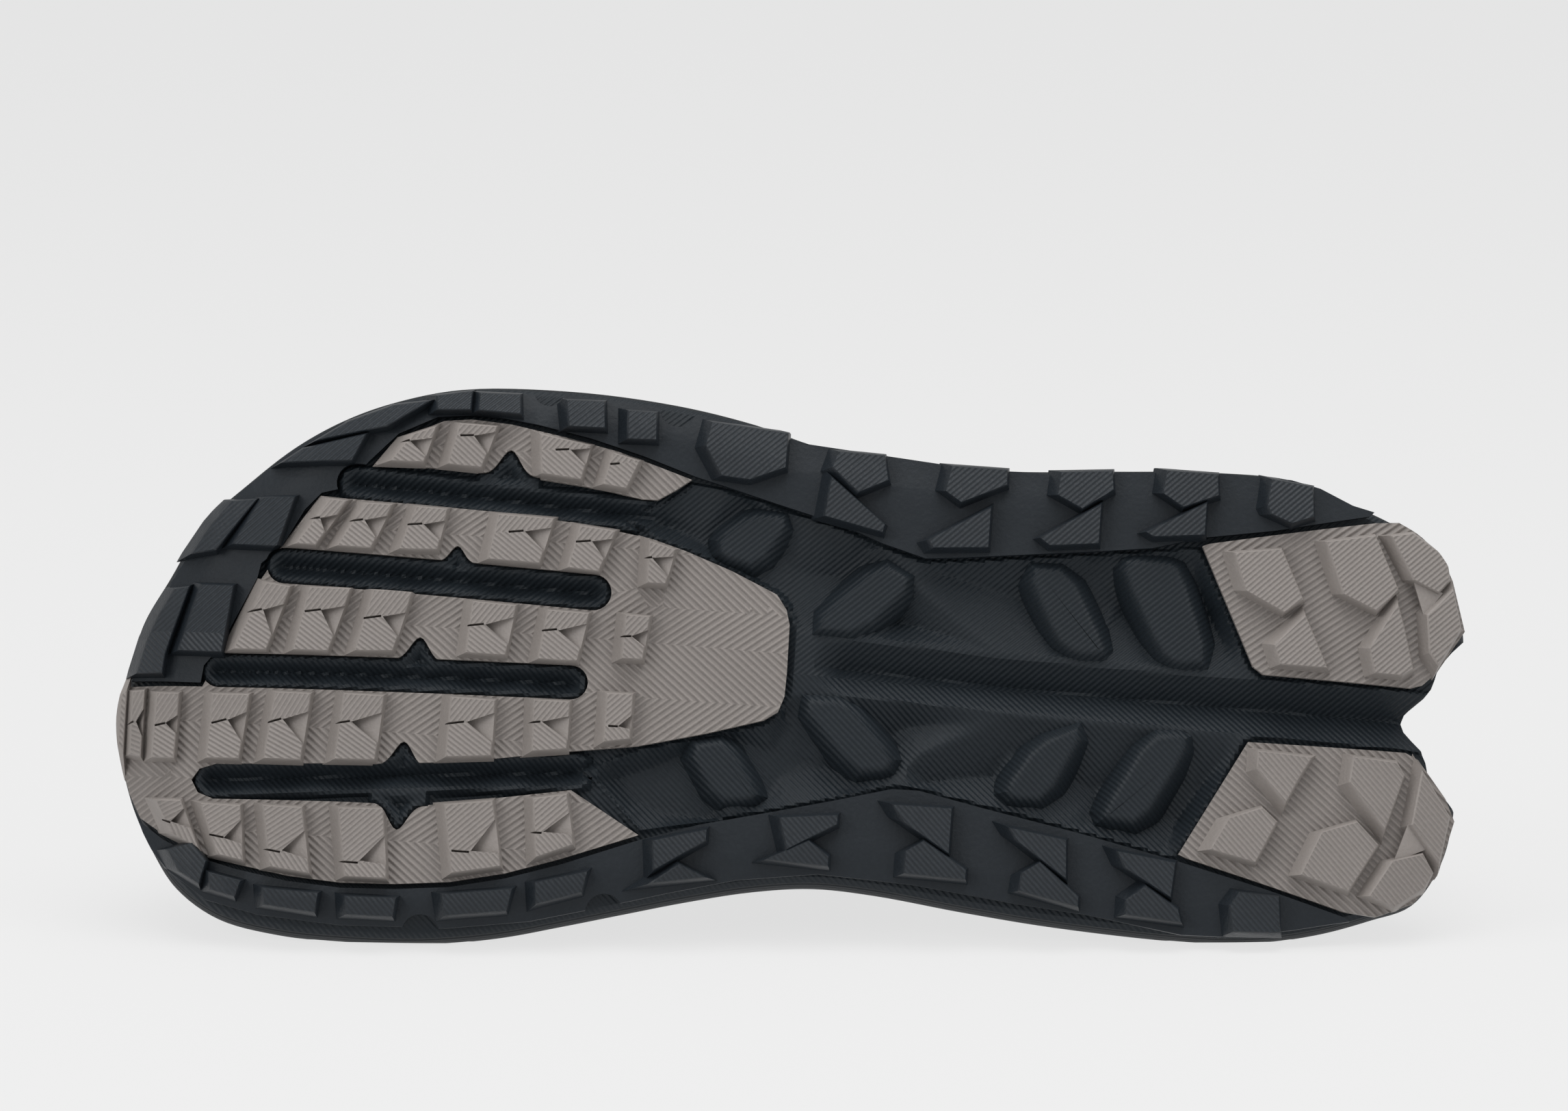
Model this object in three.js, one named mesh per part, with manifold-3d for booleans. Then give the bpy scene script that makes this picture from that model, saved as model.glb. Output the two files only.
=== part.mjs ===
// A left trail running shoe, empty, lying on its inner side with the tread facing out.
// Shoe coordinates while the pieces are made: x from heel to toe, y towards the outer side,
// z up from the tread. The last step lays the shoe on its side, as it rests on a floor.
import * as THREE from 'three';
import { mergeVertices } from 'three/addons/utils/BufferGeometryUtils.js';
import Module from 'manifold-3d';

const wasm = await Module();
wasm.setup();

// Driving dimensions, millimetres
const SOLE_LENGTH = 295.5;
const BALL_WIDTH = 124.3;
const HEEL_WIDTH = 103.7;
const LUG_DEPTH = 3.8;
const RUBBER = 2.0;
const FOAM_GAP = 0.8;
const TOE_SPRING = 19;
const HEEL_LIFT = 8;
const EDGE_CURL = 3.2;
const CURL_BAND = 9;
const FOOTBED_HEIGHT = 28;
const FOOTBED_TOE_RISE = 11;
const RIM_RISE = 9;
const RIM_WALL = 4.5;
const LIP = 1.5;
const SIDE_TUCK = 2.2;
const SIDE_FOOT = 6.8;
const SLOT_DEPTH = 5;
const ARCH_DEPTH = 3.4;
const POD_HEIGHT = 6.2;
const SPINE_DEPTH = 6.5;
const SPINE_WIDTH = 13;
const UPPER_SETBACK = 15.5;
const TOE_SETBACK = 6;
const BALL_FLARE = 18.3;
const HEEL_FLARE = 29.7;
const INSTEP_HEIGHT = 92;
const WIDEST_HEIGHT = 15;
const CROWN_SHIFT = 4;
const HEEL_CURVE = 5;
const WALL = 2.2;
const COLLAR_PAD = 5;
const COLLAR_BACK = 79;
const COLLAR_DIP = 57;
const THROAT_TOP = 85;
const THROAT_BACK = 95;
const THROAT_FRONT = 204;
const THROAT_WIDTH = 32;
const TONGUE_THICKNESS = 4;
const TONGUE_LAP = 7;
const TONGUE_TOP = 84;
const INSOLE_THICKNESS = 5;
const OVERLAY = 1.2;
const EYESTAY_BAND = 15;
const EYELET_ROWS = 5;
const EYELET_DIAMETER = 4.6;
const EYELET_INSET = 6;
const LACE_WIDTH = 6;
const LACE_THICKNESS = 1.5;
const TOE_CAP_LENGTH = 34;
const COUNTER_LENGTH = 62;
const COUNTER_HEIGHT = 46;
const LOOP_WIDTH = 12;
const LOOP_THICKNESS = 1.6;
const LOOP_RISE = 13;
const CLEARANCE = 0.3;
const FLOOR_FLAT = 0.35;

const FACE = LUG_DEPTH + RUBBER;
const FOAM = FACE + FOAM_GAP;
const RIM_LEVEL = FOOTBED_HEIGHT + RIM_RISE;
const UPPER_LENGTH = SOLE_LENGTH - UPPER_SETBACK - TOE_SETBACK;
const UPPER_BALL_WIDTH = BALL_WIDTH - BALL_FLARE;
const UPPER_HEEL_WIDTH = HEEL_WIDTH - HEEL_FLARE;

const COLOURS = {
  foam: 0x1c2024,
  darkRubber: 0x272c31,
  taupeRubber: 0x948b86,
  mesh: 0x22262a,
  overlay: 0x2c3136,
  lining: 0x33373b,
  lace: 0x3a3e42,
  accent: 0xe8ac1c,
};

function rows(names, ...values) {
  const columns = names.split(' ');
  return values.map((value) => Object.fromEntries(columns.map((name, i) => [name, value[i]])));
}

const lerp = (a, b, t) => a + (b - a) * t;
const clamp = (value, low, high) => Math.min(Math.max(value, low), high);
const smooth = (t) => clamp(t, 0, 1) ** 2 * (3 - 2 * clamp(t, 0, 1));

// Across shares follow the heel width at the back and the ball width in front.
const HEEL_ZONE = 0.25;
const BALL_ZONE = 0.7;
const blend = (along, heel, ball) =>
  lerp(heel, ball, smooth((along - HEEL_ZONE) / (BALL_ZONE - HEEL_ZONE)));
const soleSpan = (along) => blend(along, HEEL_WIDTH, BALL_WIDTH);
const upperSpan = (along) => blend(along, UPPER_HEEL_WIDTH, UPPER_BALL_WIDTH);
const onPlan = (along, across) => [along * SOLE_LENGTH, across * soleSpan(along)];

// Outline of the sole, seen from below, as shares of the sole length and of its breadth there
const SOLE_OUTLINE = rows(
  'along across',
  [0.0, 0.2], [0.007, 0.265], [0.018, 0.33], [0.037, 0.388], [0.057, 0.418], [0.097, 0.46],
  [0.138, 0.496], [0.2, 0.5], [0.27, 0.487], [0.35, 0.46], [0.42, 0.45], [0.49, 0.445],
  [0.54, 0.466], [0.6, 0.478], [0.68, 0.48], [0.76, 0.469], [0.81, 0.438], [0.847, 0.4],
  [0.881, 0.349], [0.915, 0.279], [0.947, 0.203], [0.969, 0.105], [0.987, 0.021],
  [0.9955, -0.08], [1.0, -0.15], [0.994, -0.232], [0.983, -0.307], [0.965, -0.384],
  [0.945, -0.446], [0.912, -0.495], [0.867, -0.517], [0.821, -0.522], [0.761, -0.518],
  [0.703, -0.497], [0.657, -0.471], [0.612, -0.447], [0.566, -0.425], [0.518, -0.408],
  [0.473, -0.404], [0.427, -0.42], [0.36, -0.457], [0.292, -0.486], [0.2, -0.499],
  [0.15, -0.494], [0.097, -0.463], [0.057, -0.423], [0.027, -0.385], [0.009, -0.31],
  [0.0, -0.215],
);
const HEEL_NOTCH = rows(
  'along across',
  [-0.02, 0.21], [0.009, 0.165], [0.02, 0.12], [0.025, 0.07], [0.0385, 0.0],
  [0.025, -0.07], [0.021, -0.12], [0.009, -0.16], [-0.02, -0.21],
);

// How far the tread lifts off the ground, as shares of the toe spring, heel lift and edge
// curl. The sole bends at these places only.
const ROCKER = rows(
  'at toe heel curl',
  [0.0, 0, 1, 0.25], [0.07, 0, 0.32, 0.25], [0.17, 0, 0, 0.25], [0.63, 0, 0, 0.8], [0.735, 0, 0, 1],
  [0.805, 0.075, 0, 1], [0.865, 0.21, 0, 1], [0.93, 0.48, 0, 1],
  [1.0, 1, 0, 1],
);

// Footbed rise as a share of its rise at the toe, and rim rise as a share of RIM_RISE
const FOOTBED = rows(
  'at rise rim',
  [0.0, 0.06, 1.35], [0.15, 0, 1.25], [0.4, 0, 1.0], [0.7, 0, 0.9],
  [0.8, 0.12, 0.9], [0.9, 0.5, 0.95], [1.0, 1.05, 1.1],
);

// Plan of the upper at its widest, as shares of its length and of its breadth there
const UPPER_PLAN = rows(
  'along across',
  [0.0, 0.0], [0.012, 0.19], [0.045, 0.345], [0.1, 0.445], [0.17, 0.49], [0.25, 0.5],
  [0.33, 0.48], [0.42, 0.455], [0.5, 0.45], [0.6, 0.46], [0.7, 0.478], [0.78, 0.465],
  [0.85, 0.41], [0.91, 0.31], [0.955, 0.19], [0.985, 0.06], [1.0, -0.09], [0.99, -0.24],
  [0.965, -0.35], [0.92, -0.44], [0.86, -0.495], [0.78, -0.515], [0.7, -0.5], [0.6, -0.45],
  [0.5, -0.41], [0.42, -0.42], [0.33, -0.465], [0.25, -0.495], [0.17, -0.485], [0.1, -0.44],
  [0.045, -0.34], [0.012, -0.19],
);

// Ridge of the upper above the footbed as a share of the instep height, how square its
// section is, and how far its crown leans to the inner side as a share of CROWN_SHIFT
const UPPER_RIDGE = rows(
  'at ridge square crown',
  [0.0, 1.25, 2.6, 0], [0.1, 1.27, 2.6, 0], [0.2, 1.22, 2.5, 0.2], [0.28, 1.13, 2.3, 0.6],
  [0.345, 1.0, 2.1, 1], [0.42, 0.88, 2.0, 1], [0.51, 0.77, 2.0, 1.2], [0.6, 0.665, 2.1, 1.4],
  [0.69, 0.57, 2.2, 1.6], [0.78, 0.485, 2.3, 1.8], [0.86, 0.42, 2.4, 2], [0.93, 0.345, 2.4, 2],
  [0.97, 0.265, 2.4, 2], [0.99, 0.19, 2.3, 2], [1.0, 0.12, 2.2, 2],
);

// Lower edge of the upper's section: breadth share and drop share from the widest place
const FEATHER = rows('breadth drop', [0.985, 0.5], [0.93, 0.85], [0.8, 1.0]);

// Heel curve seen from the side: how far forward, as a share of HEEL_CURVE, at each height
// above the footbed as a share of the instep height
const HEEL_PROFILE = rows(
  'at forward',
  [0.0, 0.5], [0.15, 0.05], [0.3, 0], [0.5, 0.45], [0.68, 0.9], [0.8, 0.75], [0.95, 0.3],
);

// Collar seen from the side: its height above the footbed as shares of three named heights
const COLLAR = rows(
  'at back dip throat',
  [-0.06, 1, 0, 0], [0.01, 1, 0, 0], [0.05, 0.86, 0.13, 0], [0.1, 0.4, 0.61, 0],
  [0.155, 0.08, 0.93, 0], [0.2, 0, 1, 0], [0.245, 0, 0.9, 0.11], [0.29, 0, 0.5, 0.53],
  [0.335, 0, 0.1, 0.92], [0.36, 0, 0, 1],
);

// Rubber pieces seen from below, as shares of the sole length and of its breadth there
const PLATE_OUTLINE = rows(
  'along across',
  [0.5035, 0.0], [0.504, 0.09], [0.507, 0.118], [0.515, 0.145], [0.55, 0.18], [0.585, 0.207],
  [0.61, 0.222], [0.66, 0.236], [0.72, 0.245], [0.853, 0.253], [0.866, 0.225],
  [0.8975, 0.1], [0.922, -0.03], [0.935, -0.093], [0.995, -0.096], [0.9985, -0.13],
  [0.9985, -0.165], [0.994, -0.222], [0.985, -0.285], [0.975, -0.328], [0.955, -0.357],
  [0.93, -0.384], [0.9, -0.402], [0.86, -0.418], [0.82, -0.424], [0.78, -0.42], [0.74, -0.41],
  [0.7, -0.388], [0.66, -0.357], [0.604, -0.31], [0.656, -0.235], [0.7, -0.253],
  [0.764, -0.28], [0.82, -0.282], [0.92, -0.29], [0.932, -0.28], [0.9375, -0.258],
  [0.932, -0.238], [0.92, -0.228], [0.8, -0.211], [0.74, -0.199], [0.66, -0.167],
  [0.61, -0.151], [0.56, -0.122], [0.518, -0.092], [0.508, -0.075], [0.504, -0.045],
);
const ISLAND_OUTLINE = rows(
  'along across',
  [0.819, 0.316], [0.8, 0.366], [0.77, 0.4], [0.75, 0.406], [0.72, 0.402], [0.68, 0.387],
  [0.64, 0.371], [0.61, 0.353], [0.584, 0.337], [0.595, 0.315], [0.608, 0.293], [0.62, 0.291],
  [0.65, 0.301], [0.705, 0.311], [0.76, 0.316],
);
const LATERAL_RAIL_OUTLINE = rows(
  'along across',
  [0.99, -0.086], [0.9365, -0.086], [0.935, -0.055], [0.924, -0.022], [0.9, 0.104],
  [0.898, 0.13], [0.883, 0.163], [0.8685, 0.229], [0.857, 0.26], [0.842, 0.27],
  [0.823, 0.322], [0.803, 0.373], [0.775, 0.407], [0.74, 0.416], [0.7, 0.405], [0.66, 0.389],
  [0.62, 0.368], [0.582, 0.344], [0.56, 0.334], [0.52, 0.315], [0.47, 0.292], [0.44, 0.268],
  [0.407, 0.249], [0.38, 0.26], [0.33, 0.283], [0.28, 0.304], [0.24, 0.32], [0.205, 0.349],
  [0.15, 0.376], [0.08, 0.424], [0.0765, 0.434], [0.093, 0.444], [0.118, 0.474],
  [0.14, 0.487], [0.2, 0.49], [0.27, 0.475], [0.32, 0.455], [0.38, 0.444], [0.5, 0.438],
  [0.54, 0.45], [0.6, 0.462], [0.68, 0.465], [0.76, 0.456], [0.81, 0.425], [0.847, 0.388],
  [0.881, 0.337], [0.914, 0.268], [0.943, 0.193], [0.964, 0.098], [0.98, 0.018],
);
const MEDIAL_RAIL_OUTLINE = rows(
  'along across',
  [0.983, -0.3], [0.974, -0.336], [0.955, -0.366], [0.93, -0.393], [0.9, -0.411], [0.86, -0.427],
  [0.82, -0.433], [0.78, -0.429], [0.74, -0.419], [0.7, -0.397], [0.66, -0.367],
  [0.601, -0.317], [0.56, -0.289], [0.51, -0.265], [0.46, -0.239], [0.42, -0.215],
  [0.4, -0.217], [0.35, -0.25], [0.28, -0.292], [0.207, -0.336], [0.14, -0.382],
  [0.08, -0.427], [0.0755, -0.435], [0.09, -0.444], [0.118, -0.463], [0.17, -0.488],
  [0.2, -0.49], [0.27, -0.462], [0.325, -0.443], [0.4, -0.405], [0.47, -0.381],
  [0.53, -0.39], [0.58, -0.413], [0.63, -0.44], [0.68, -0.468], [0.74, -0.49],
  [0.82, -0.497], [0.88, -0.488], [0.92, -0.467], [0.95, -0.42], [0.968, -0.374],
);
const LATERAL_PAD_OUTLINE = rows(
  'along across',
  [0.152, 0.07], [0.16, 0.085], [0.203, 0.332], [0.198, 0.338], [0.075, 0.411], [0.056, 0.417],
  [0.044, 0.405], [0.017, 0.335], [0.012, 0.29], [0.002, 0.2], [0.022, 0.105], [0.032, 0.077],
  [0.041, 0.068],
);
const MEDIAL_PAD_OUTLINE = rows(
  'along across',
  [0.16, -0.075], [0.206, -0.322], [0.2, -0.329], [0.081, -0.416], [0.056, -0.421],
  [0.028, -0.385], [0.011, -0.318], [0.001, -0.204], [0.009, -0.158], [0.032, -0.082],
  [0.042, -0.07],
);

// Foam left open between the rubber strips: both ends of each slot and its breadth in mm,
// and the round notches in the strips beside them
const SLOTS = rows(
  'toe toeAcross heel heelAcross breadth',
  [0.8935, 0.129, 0.637, 0.117, 8], [0.936, -0.063, 0.6495, -0.044, 7.6],
);
const NOTCHES = rows(
  'along across radius',
  [0.7755, -0.005, 4.2], [0.7815, -0.197, 4.2], [0.782, -0.296, 4], [0.75, 0.157, 3],
  [0.719, 0.326, 4.4],
);
const RAIL_NOTCHES = rows(
  'along across radius',
  [0.694, 0.466, 3.6], [0.5975, 0.46, 4.5], [0.759, -0.503, 4.5], [0.625, -0.447, 4.5],
);
const GROOVES = rows(
  'toe toeAcross heel heelAcross breadth',
  [0.845, 0.283, 0.585, 0.262, 6.4], [0.936, -0.258, 0.655, -0.205, 7.4],
);
const ARCH_OUTLINE = rows(
  'along across',
  [0.17, 0.03], [0.172, 0.1], [0.208, 0.31], [0.28, 0.285], [0.34, 0.262], [0.407, 0.225],
  [0.45, 0.25], [0.52, 0.285], [0.58, 0.3], [0.6, 0.27], [0.58, 0.222], [0.53, 0.185],
  [0.498, 0.14], [0.495, -0.06], [0.53, -0.118], [0.6, -0.168], [0.64, -0.19], [0.6, -0.28],
  [0.55, -0.262], [0.5, -0.235], [0.42, -0.19], [0.35, -0.225], [0.28, -0.262],
  [0.212, -0.3], [0.172, -0.1], [0.17, -0.03],
);

// Lugs and pods: the middle of their toe and heel edges, their outer and inner limits, and
// how much nearer the toe the inner end of each edge lies, all as shares
const LUGS = rows(
  'on toe heel outer inner toeLean heelLean',
  ['plate', 0.866, 0.848, 0.243, 0.163, 0.026, 0.019],
  ['plate', 0.843, 0.811, 0.243, 0.162, 0.018, 0.013],
  ['plate', 0.803, 0.766, 0.241, 0.168, 0.011, 0.006],
  ['plate', 0.748, 0.688, 0.238, 0.16, 0.004, 0.008],
  ['plate', 0.677, 0.643, 0.23, 0.155, 0.006, 0.009],
  ['plate', 0.618, 0.597, 0.208, 0.142, 0.0, 0.006],
  ['plate', 0.91, 0.882, 0.09, -0.023, 0.022, 0.013],
  ['plate', 0.878, 0.8365, 0.09, -0.021, 0.009, 0.013],
  ['plate', 0.831, 0.79, 0.09, -0.017, 0.01, 0.011],
  ['plate', 0.76, 0.7095, 0.083, -0.01, 0.0, 0.005],
  ['plate', 0.698, 0.656, 0.077, -0.008, 0.004, 0.006],
  ['plate', 0.63, 0.6095, 0.078, 0.0, 0.0, 0.003],
  ['plate', 0.9965, 0.991, -0.115, -0.19, -0.003, -0.001],
  ['plate', 0.988, 0.9785, -0.106, -0.215, 0.0, 0.0],
  ['plate', 0.974, 0.952, -0.108, -0.226, 0.0, 0.0],
  ['plate', 0.942, 0.901, -0.106, -0.218, 0.0, 0.004],
  ['plate', 0.892, 0.855, -0.1, -0.215, 0.005, 0.004],
  ['plate', 0.847, 0.8005, -0.097, -0.208, 0.004, 0.003],
  ['plate', 0.768, 0.717, -0.09, -0.19, 0.0, 0.0],
  ['plate', 0.698, 0.662, -0.085, -0.166, 0.0, 0.0],
  ['plate', 0.643, 0.616, -0.063, -0.147, 0.0, 0.0],
  ['plate', 0.969, 0.9385, -0.3, -0.345, -0.012, -0.012],
  ['plate', 0.93, 0.897, -0.303, -0.388, -0.016, -0.006],
  ['plate', 0.89, 0.849, -0.296, -0.406, -0.008, -0.009],
  ['plate', 0.842, 0.79, -0.292, -0.413, -0.009, -0.006],
  ['plate', 0.766, 0.7085, -0.285, -0.375, -0.007, -0.009],
  ['plate', 0.692, 0.6555, -0.257, -0.338, -0.004, -0.007],
  ['island', 0.812, 0.78, 0.36, 0.323, 0.012, 0.006],
  ['island', 0.772, 0.7355, 0.396, 0.323, 0.006, 0.008],
  ['island', 0.716, 0.6635, 0.38, 0.321, -0.006, 0.005],
  ['island', 0.655, 0.628, 0.358, 0.31, 0.004, 0.007],
  ['lateral', 0.98, 0.9605, 0.088, -0.032, 0.02, 0.015],
  ['lateral', 0.951, 0.9195, 0.088, -0.03, 0.017, 0.006],
  ['lateral', 0.9445, 0.924, 0.24, 0.15, 0.025, 0.03],
  ['lateral', 0.912, 0.8815, 0.247, 0.158, 0.02, 0.01],
  ['lateral', 0.886, 0.832, 0.352, 0.32, 0.014, 0.009],
  ['lateral', 0.836, 0.805, 0.43, 0.375, 0.05, 0.043],
  ['lateral', 0.778, 0.751, 0.462, 0.424, 0.01, 0.004],
  ['lateral', 0.746, 0.714, 0.455, 0.424, 0.004, 0.0],
  ['lateral', 0.677, 0.65, 0.458, 0.402, -0.01, 0.006],
  ['lateral', 0.636, 0.612, 0.452, 0.388, 0.004, 0.004],
  ['lateral', 0.572, 0.524, 0.452, 0.385, 0.004, 0.0],
  ['lateral', 0.564, 0.53, 0.372, 0.34, -0.008, -0.012],
  ['lateral', 0.487, 0.4405, 0.434, 0.388, 0.003, 0.0],
  ['lateral', 0.487, 0.456, 0.362, 0.308, 0.0, -0.03],
  ['lateral', 0.396, 0.352, 0.442, 0.37, 0.0, 0.0],
  ['lateral', 0.39, 0.362, 0.345, 0.285, 0.036, 0.0],
  ['lateral', 0.313, 0.277, 0.458, 0.402, 0.0, 0.0],
  ['lateral', 0.306, 0.281, 0.387, 0.325, 0.036, 0.0],
  ['lateral', 0.236, 0.197, 0.484, 0.425, 0.0, 0.0],
  ['lateral', 0.226, 0.204, 0.411, 0.352, 0.036, 0.0],
  ['lateral', 0.157, 0.124, 0.482, 0.402, 0.0, 0.0],
  ['medial', 0.592, 0.565, -0.325, -0.362, 0.0, 0.02],
  ['medial', 0.596, 0.556, -0.376, -0.402, 0.0, 0.0],
  ['medial', 0.499, 0.472, -0.27, -0.325, 0.0, 0.028],
  ['medial', 0.503, 0.465, -0.342, -0.376, 0.006, 0.0],
  ['medial', 0.402, 0.377, -0.25, -0.33, -0.034, 0.0],
  ['medial', 0.406, 0.362, -0.346, -0.395, 0.0, 0.0],
  ['medial', 0.316, 0.29, -0.297, -0.372, -0.034, 0.0],
  ['medial', 0.322, 0.279, -0.388, -0.436, 0.0, 0.0],
  ['medial', 0.236, 0.209, -0.332, -0.405, -0.034, 0.0],
  ['medial', 0.243, 0.201, -0.42, -0.476, 0.0, 0.0],
  ['medial', 0.163, 0.13, -0.392, -0.472, 0.0, 0.0],
  ['medial', 0.946, 0.924, -0.4, -0.442, -0.012, -0.016],
  ['medial', 0.914, 0.893, -0.425, -0.47, -0.006, -0.006],
  ['medial', 0.88, 0.838, -0.438, -0.482, -0.004, -0.006],
  ['medial', 0.818, 0.78, -0.444, -0.489, -0.004, -0.004],
  ['medial', 0.744, 0.697, -0.428, -0.478, -0.004, -0.01],
  ['medial', 0.68, 0.644, -0.4, -0.444, -0.006, -0.01],
  ['lateralPad', 0.165, 0.138, 0.322, 0.215, -0.033, -0.017],
  ['lateralPad', 0.138, 0.115, 0.185, 0.087, 0.012, -0.014],
  ['lateralPad', 0.102, 0.07, 0.368, 0.235, -0.026, -0.016],
  ['lateralPad', 0.068, 0.048, 0.218, 0.09, 0.012, -0.01],
  ['lateralPad', 0.055, 0.029, 0.375, 0.285, -0.02, -0.014],
  ['lateralPad', 0.032, 0.0145, 0.268, 0.13, -0.006, 0.01],
  ['medialPad', 0.175, 0.143, -0.225, -0.322, 0.02, 0.013],
  ['medialPad', 0.146, 0.121, -0.092, -0.19, -0.016, 0.012],
  ['medialPad', 0.106, 0.072, -0.235, -0.37, 0.022, 0.014],
  ['medialPad', 0.076, 0.05, -0.088, -0.222, -0.016, 0.008],
  ['medialPad', 0.033, 0.0135, -0.13, -0.28, -0.006, -0.008],
  ['medialPad', 0.056, 0.029, -0.298, -0.38, 0.016, 0.016],
  ['pod', 0.552, 0.519, 0.285, 0.195, 0.014, 0.022],
  ['pod', 0.4635, 0.4335, 0.215, 0.09, 0.05, 0.036],
  ['pod', 0.3165, 0.285, 0.262, 0.09, -0.033, -0.03],
  ['pod', 0.2425, 0.208, 0.29, 0.08, -0.033, -0.03],
  ['pod', 0.561, 0.531, -0.145, -0.24, -0.023, -0.024],
  ['pod', 0.473, 0.4385, -0.05, -0.175, -0.043, -0.037],
  ['pod', 0.318, 0.292, -0.08, -0.23, 0.035, 0.026],
  ['pod', 0.2475, 0.219, -0.075, -0.262, 0.031, 0.03],
);

// Shape functions

function curve(table, column, key = 'at') {
  const x = table.map((row) => row[key]);
  const y = table.map((row) => row[column]);
  const secant = x.slice(1).map((value, i) => (y[i + 1] - y[i]) / (value - x[i]));
  const slope = x.map((_, i) => {
    const before = secant[i - 1] ?? secant[i];
    const after = secant[i] ?? secant[i - 1];
    return before * after <= 0 ? 0 : (2 * before * after) / (before + after);
  });
  return (place) => {
    const at = clamp(place, x[0], x[x.length - 1]);
    const i = clamp(x.findIndex((value) => value >= at) - 1, 0, x.length - 2);
    const width = x[i + 1] - x[i];
    const t = (at - x[i]) / width;
    const rise = t * t * (3 - 2 * t);
    return (
      lerp(y[i], y[i + 1], rise) +
      width * t * (1 - t) * (slope[i] * (1 - t) - slope[i + 1] * t)
    );
  };
}

// Straight from row to row
const polyline = (table, column) => (place) => {
  const at = clamp(place, table[0].at, table[table.length - 1].at);
  const i = Math.max(table.findIndex((row) => row.at >= at), 1);
  const [from, to] = [table[i - 1], table[i]];
  return lerp(from[column], to[column], (at - from.at) / (to.at - from.at));
};

function closedSpline(points, count) {
  const corners = points.map(([x, y]) => new THREE.Vector3(x, y, 0));
  const spline = new THREE.CatmullRomCurve3(corners, true, 'centripetal');
  return spline.getSpacedPoints(count).slice(0, count).map((point) => [point.x, point.y]);
}

const signedArea = (points) =>
  points.reduce((sum, [x0, y0], i) => {
    const [x1, y1] = points[(i + 1) % points.length];
    return sum + (x0 * y1 - x1 * y0) / 2;
  }, 0);
const anticlockwise = (points) => (signedArea(points) < 0 ? [...points].reverse() : points);

// Moves each side of an anticlockwise outline inwards by its own amount
function inset(points, amounts) {
  const count = points.length;
  const lines = points.map((a, i) => {
    const b = points[(i + 1) % count];
    const length = Math.hypot(b[0] - a[0], b[1] - a[1]);
    const along = [(b[0] - a[0]) / length, (b[1] - a[1]) / length];
    const amount = Array.isArray(amounts) ? amounts[i] : amounts;
    return { along, from: [a[0] - along[1] * amount, a[1] + along[0] * amount] };
  });
  return points.map((_, i) => {
    const one = lines[(i + count - 1) % count];
    const two = lines[i];
    const cross = one.along[0] * two.along[1] - one.along[1] * two.along[0];
    if (Math.abs(cross) < 0.05) {
      return two.from;
    }
    const dx = two.from[0] - one.from[0];
    const dy = two.from[1] - one.from[1];
    const t = (dx * two.along[1] - dy * two.along[0]) / cross;
    return [one.from[0] + one.along[0] * t, one.from[1] + one.along[1] * t];
  });
}

function edgesAt(loop, x) {
  const hits = [];
  loop.forEach(([x0, y0], i) => {
    const [x1, y1] = loop[(i + 1) % loop.length];
    if ((x0 - x) * (x1 - x) <= 0 && x0 !== x1) {
      hits.push(y0 + ((y1 - y0) * (x - x0)) / (x1 - x0));
    }
  });
  return [Math.min(...hits), Math.max(...hits)];
}

function edgeDistance(loop, x, y) {
  let nearest = Infinity;
  loop.forEach(([x0, y0], i) => {
    const [x1, y1] = loop[(i + 1) % loop.length];
    const dx = x1 - x0;
    const dy = y1 - y0;
    const t = clamp(((x - x0) * dx + (y - y0) * dy) / (dx * dx + dy * dy), 0, 1);
    nearest = Math.min(nearest, Math.hypot(x - x0 - dx * t, y - y0 - dy * t));
  });
  return nearest;
}

function solid(vertices, faces) {
  const vertProperties = new Float32Array(vertices.flat());
  const triVerts = new Uint32Array(faces.flat());
  return new wasm.Manifold(new wasm.Mesh({ numProp: 3, vertProperties, triVerts }));
}

// A closed stack of outlines, each with as many points, listed from low to high. The ends
// are filled across from side to side where the outline runs up one side and down the other.
function stack(rings, ladder = false) {
  const count = rings[0].points.length;
  const vertices = rings.flatMap(({ points, height }) => points.map(([x, y]) => [x, y, height]));
  const cap = (ring) => {
    if (ladder) {
      return Array.from({ length: count / 2 - 1 }, (_, i) => {
        const [a, b, c, d] = [i, i + 1, count - 2 - i, count - 1 - i].map((k) => k + ring * count);
        return [[a, b, c], [a, c, d]];
      }).flat();
    }
    const contour = rings[ring].points.map(([x, y]) => new THREE.Vector2(x, y));
    return THREE.ShapeUtils.triangulateShape(contour, []).map((face) =>
      face.map((i) => i + ring * count),
    );
  };
  const faces = cap(0).map(([a, b, c]) => [a, c, b]);
  faces.push(...cap(rings.length - 1));
  for (let ring = 0; ring < rings.length - 1; ring += 1) {
    for (let i = 0; i < count; i += 1) {
      const a = ring * count + i;
      const b = ring * count + ((i + 1) % count);
      faces.push([a, b, b + count], [a, b + count, a + count]);
    }
  }
  return solid(vertices, faces);
}

const prism = (points, low, high) => {
  const outline = anticlockwise(points);
  return stack([
    { points: outline, height: low },
    { points: outline, height: high },
  ]);
};

// Fills a ring of corners from its top corner downwards, side to side
function filled(count, top) {
  let [left, right] = [top + 1, top + count - 1];
  const faces = [[top, left, right]];
  while (right - left > 1) {
    faces.push([left, left + 1, right]);
    left += 1;
    if (right - left > 1) {
      faces.push([left, right - 1, right]);
      right -= 1;
    }
  }
  return faces.map((face) => face.map((i) => i % count));
}

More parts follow.
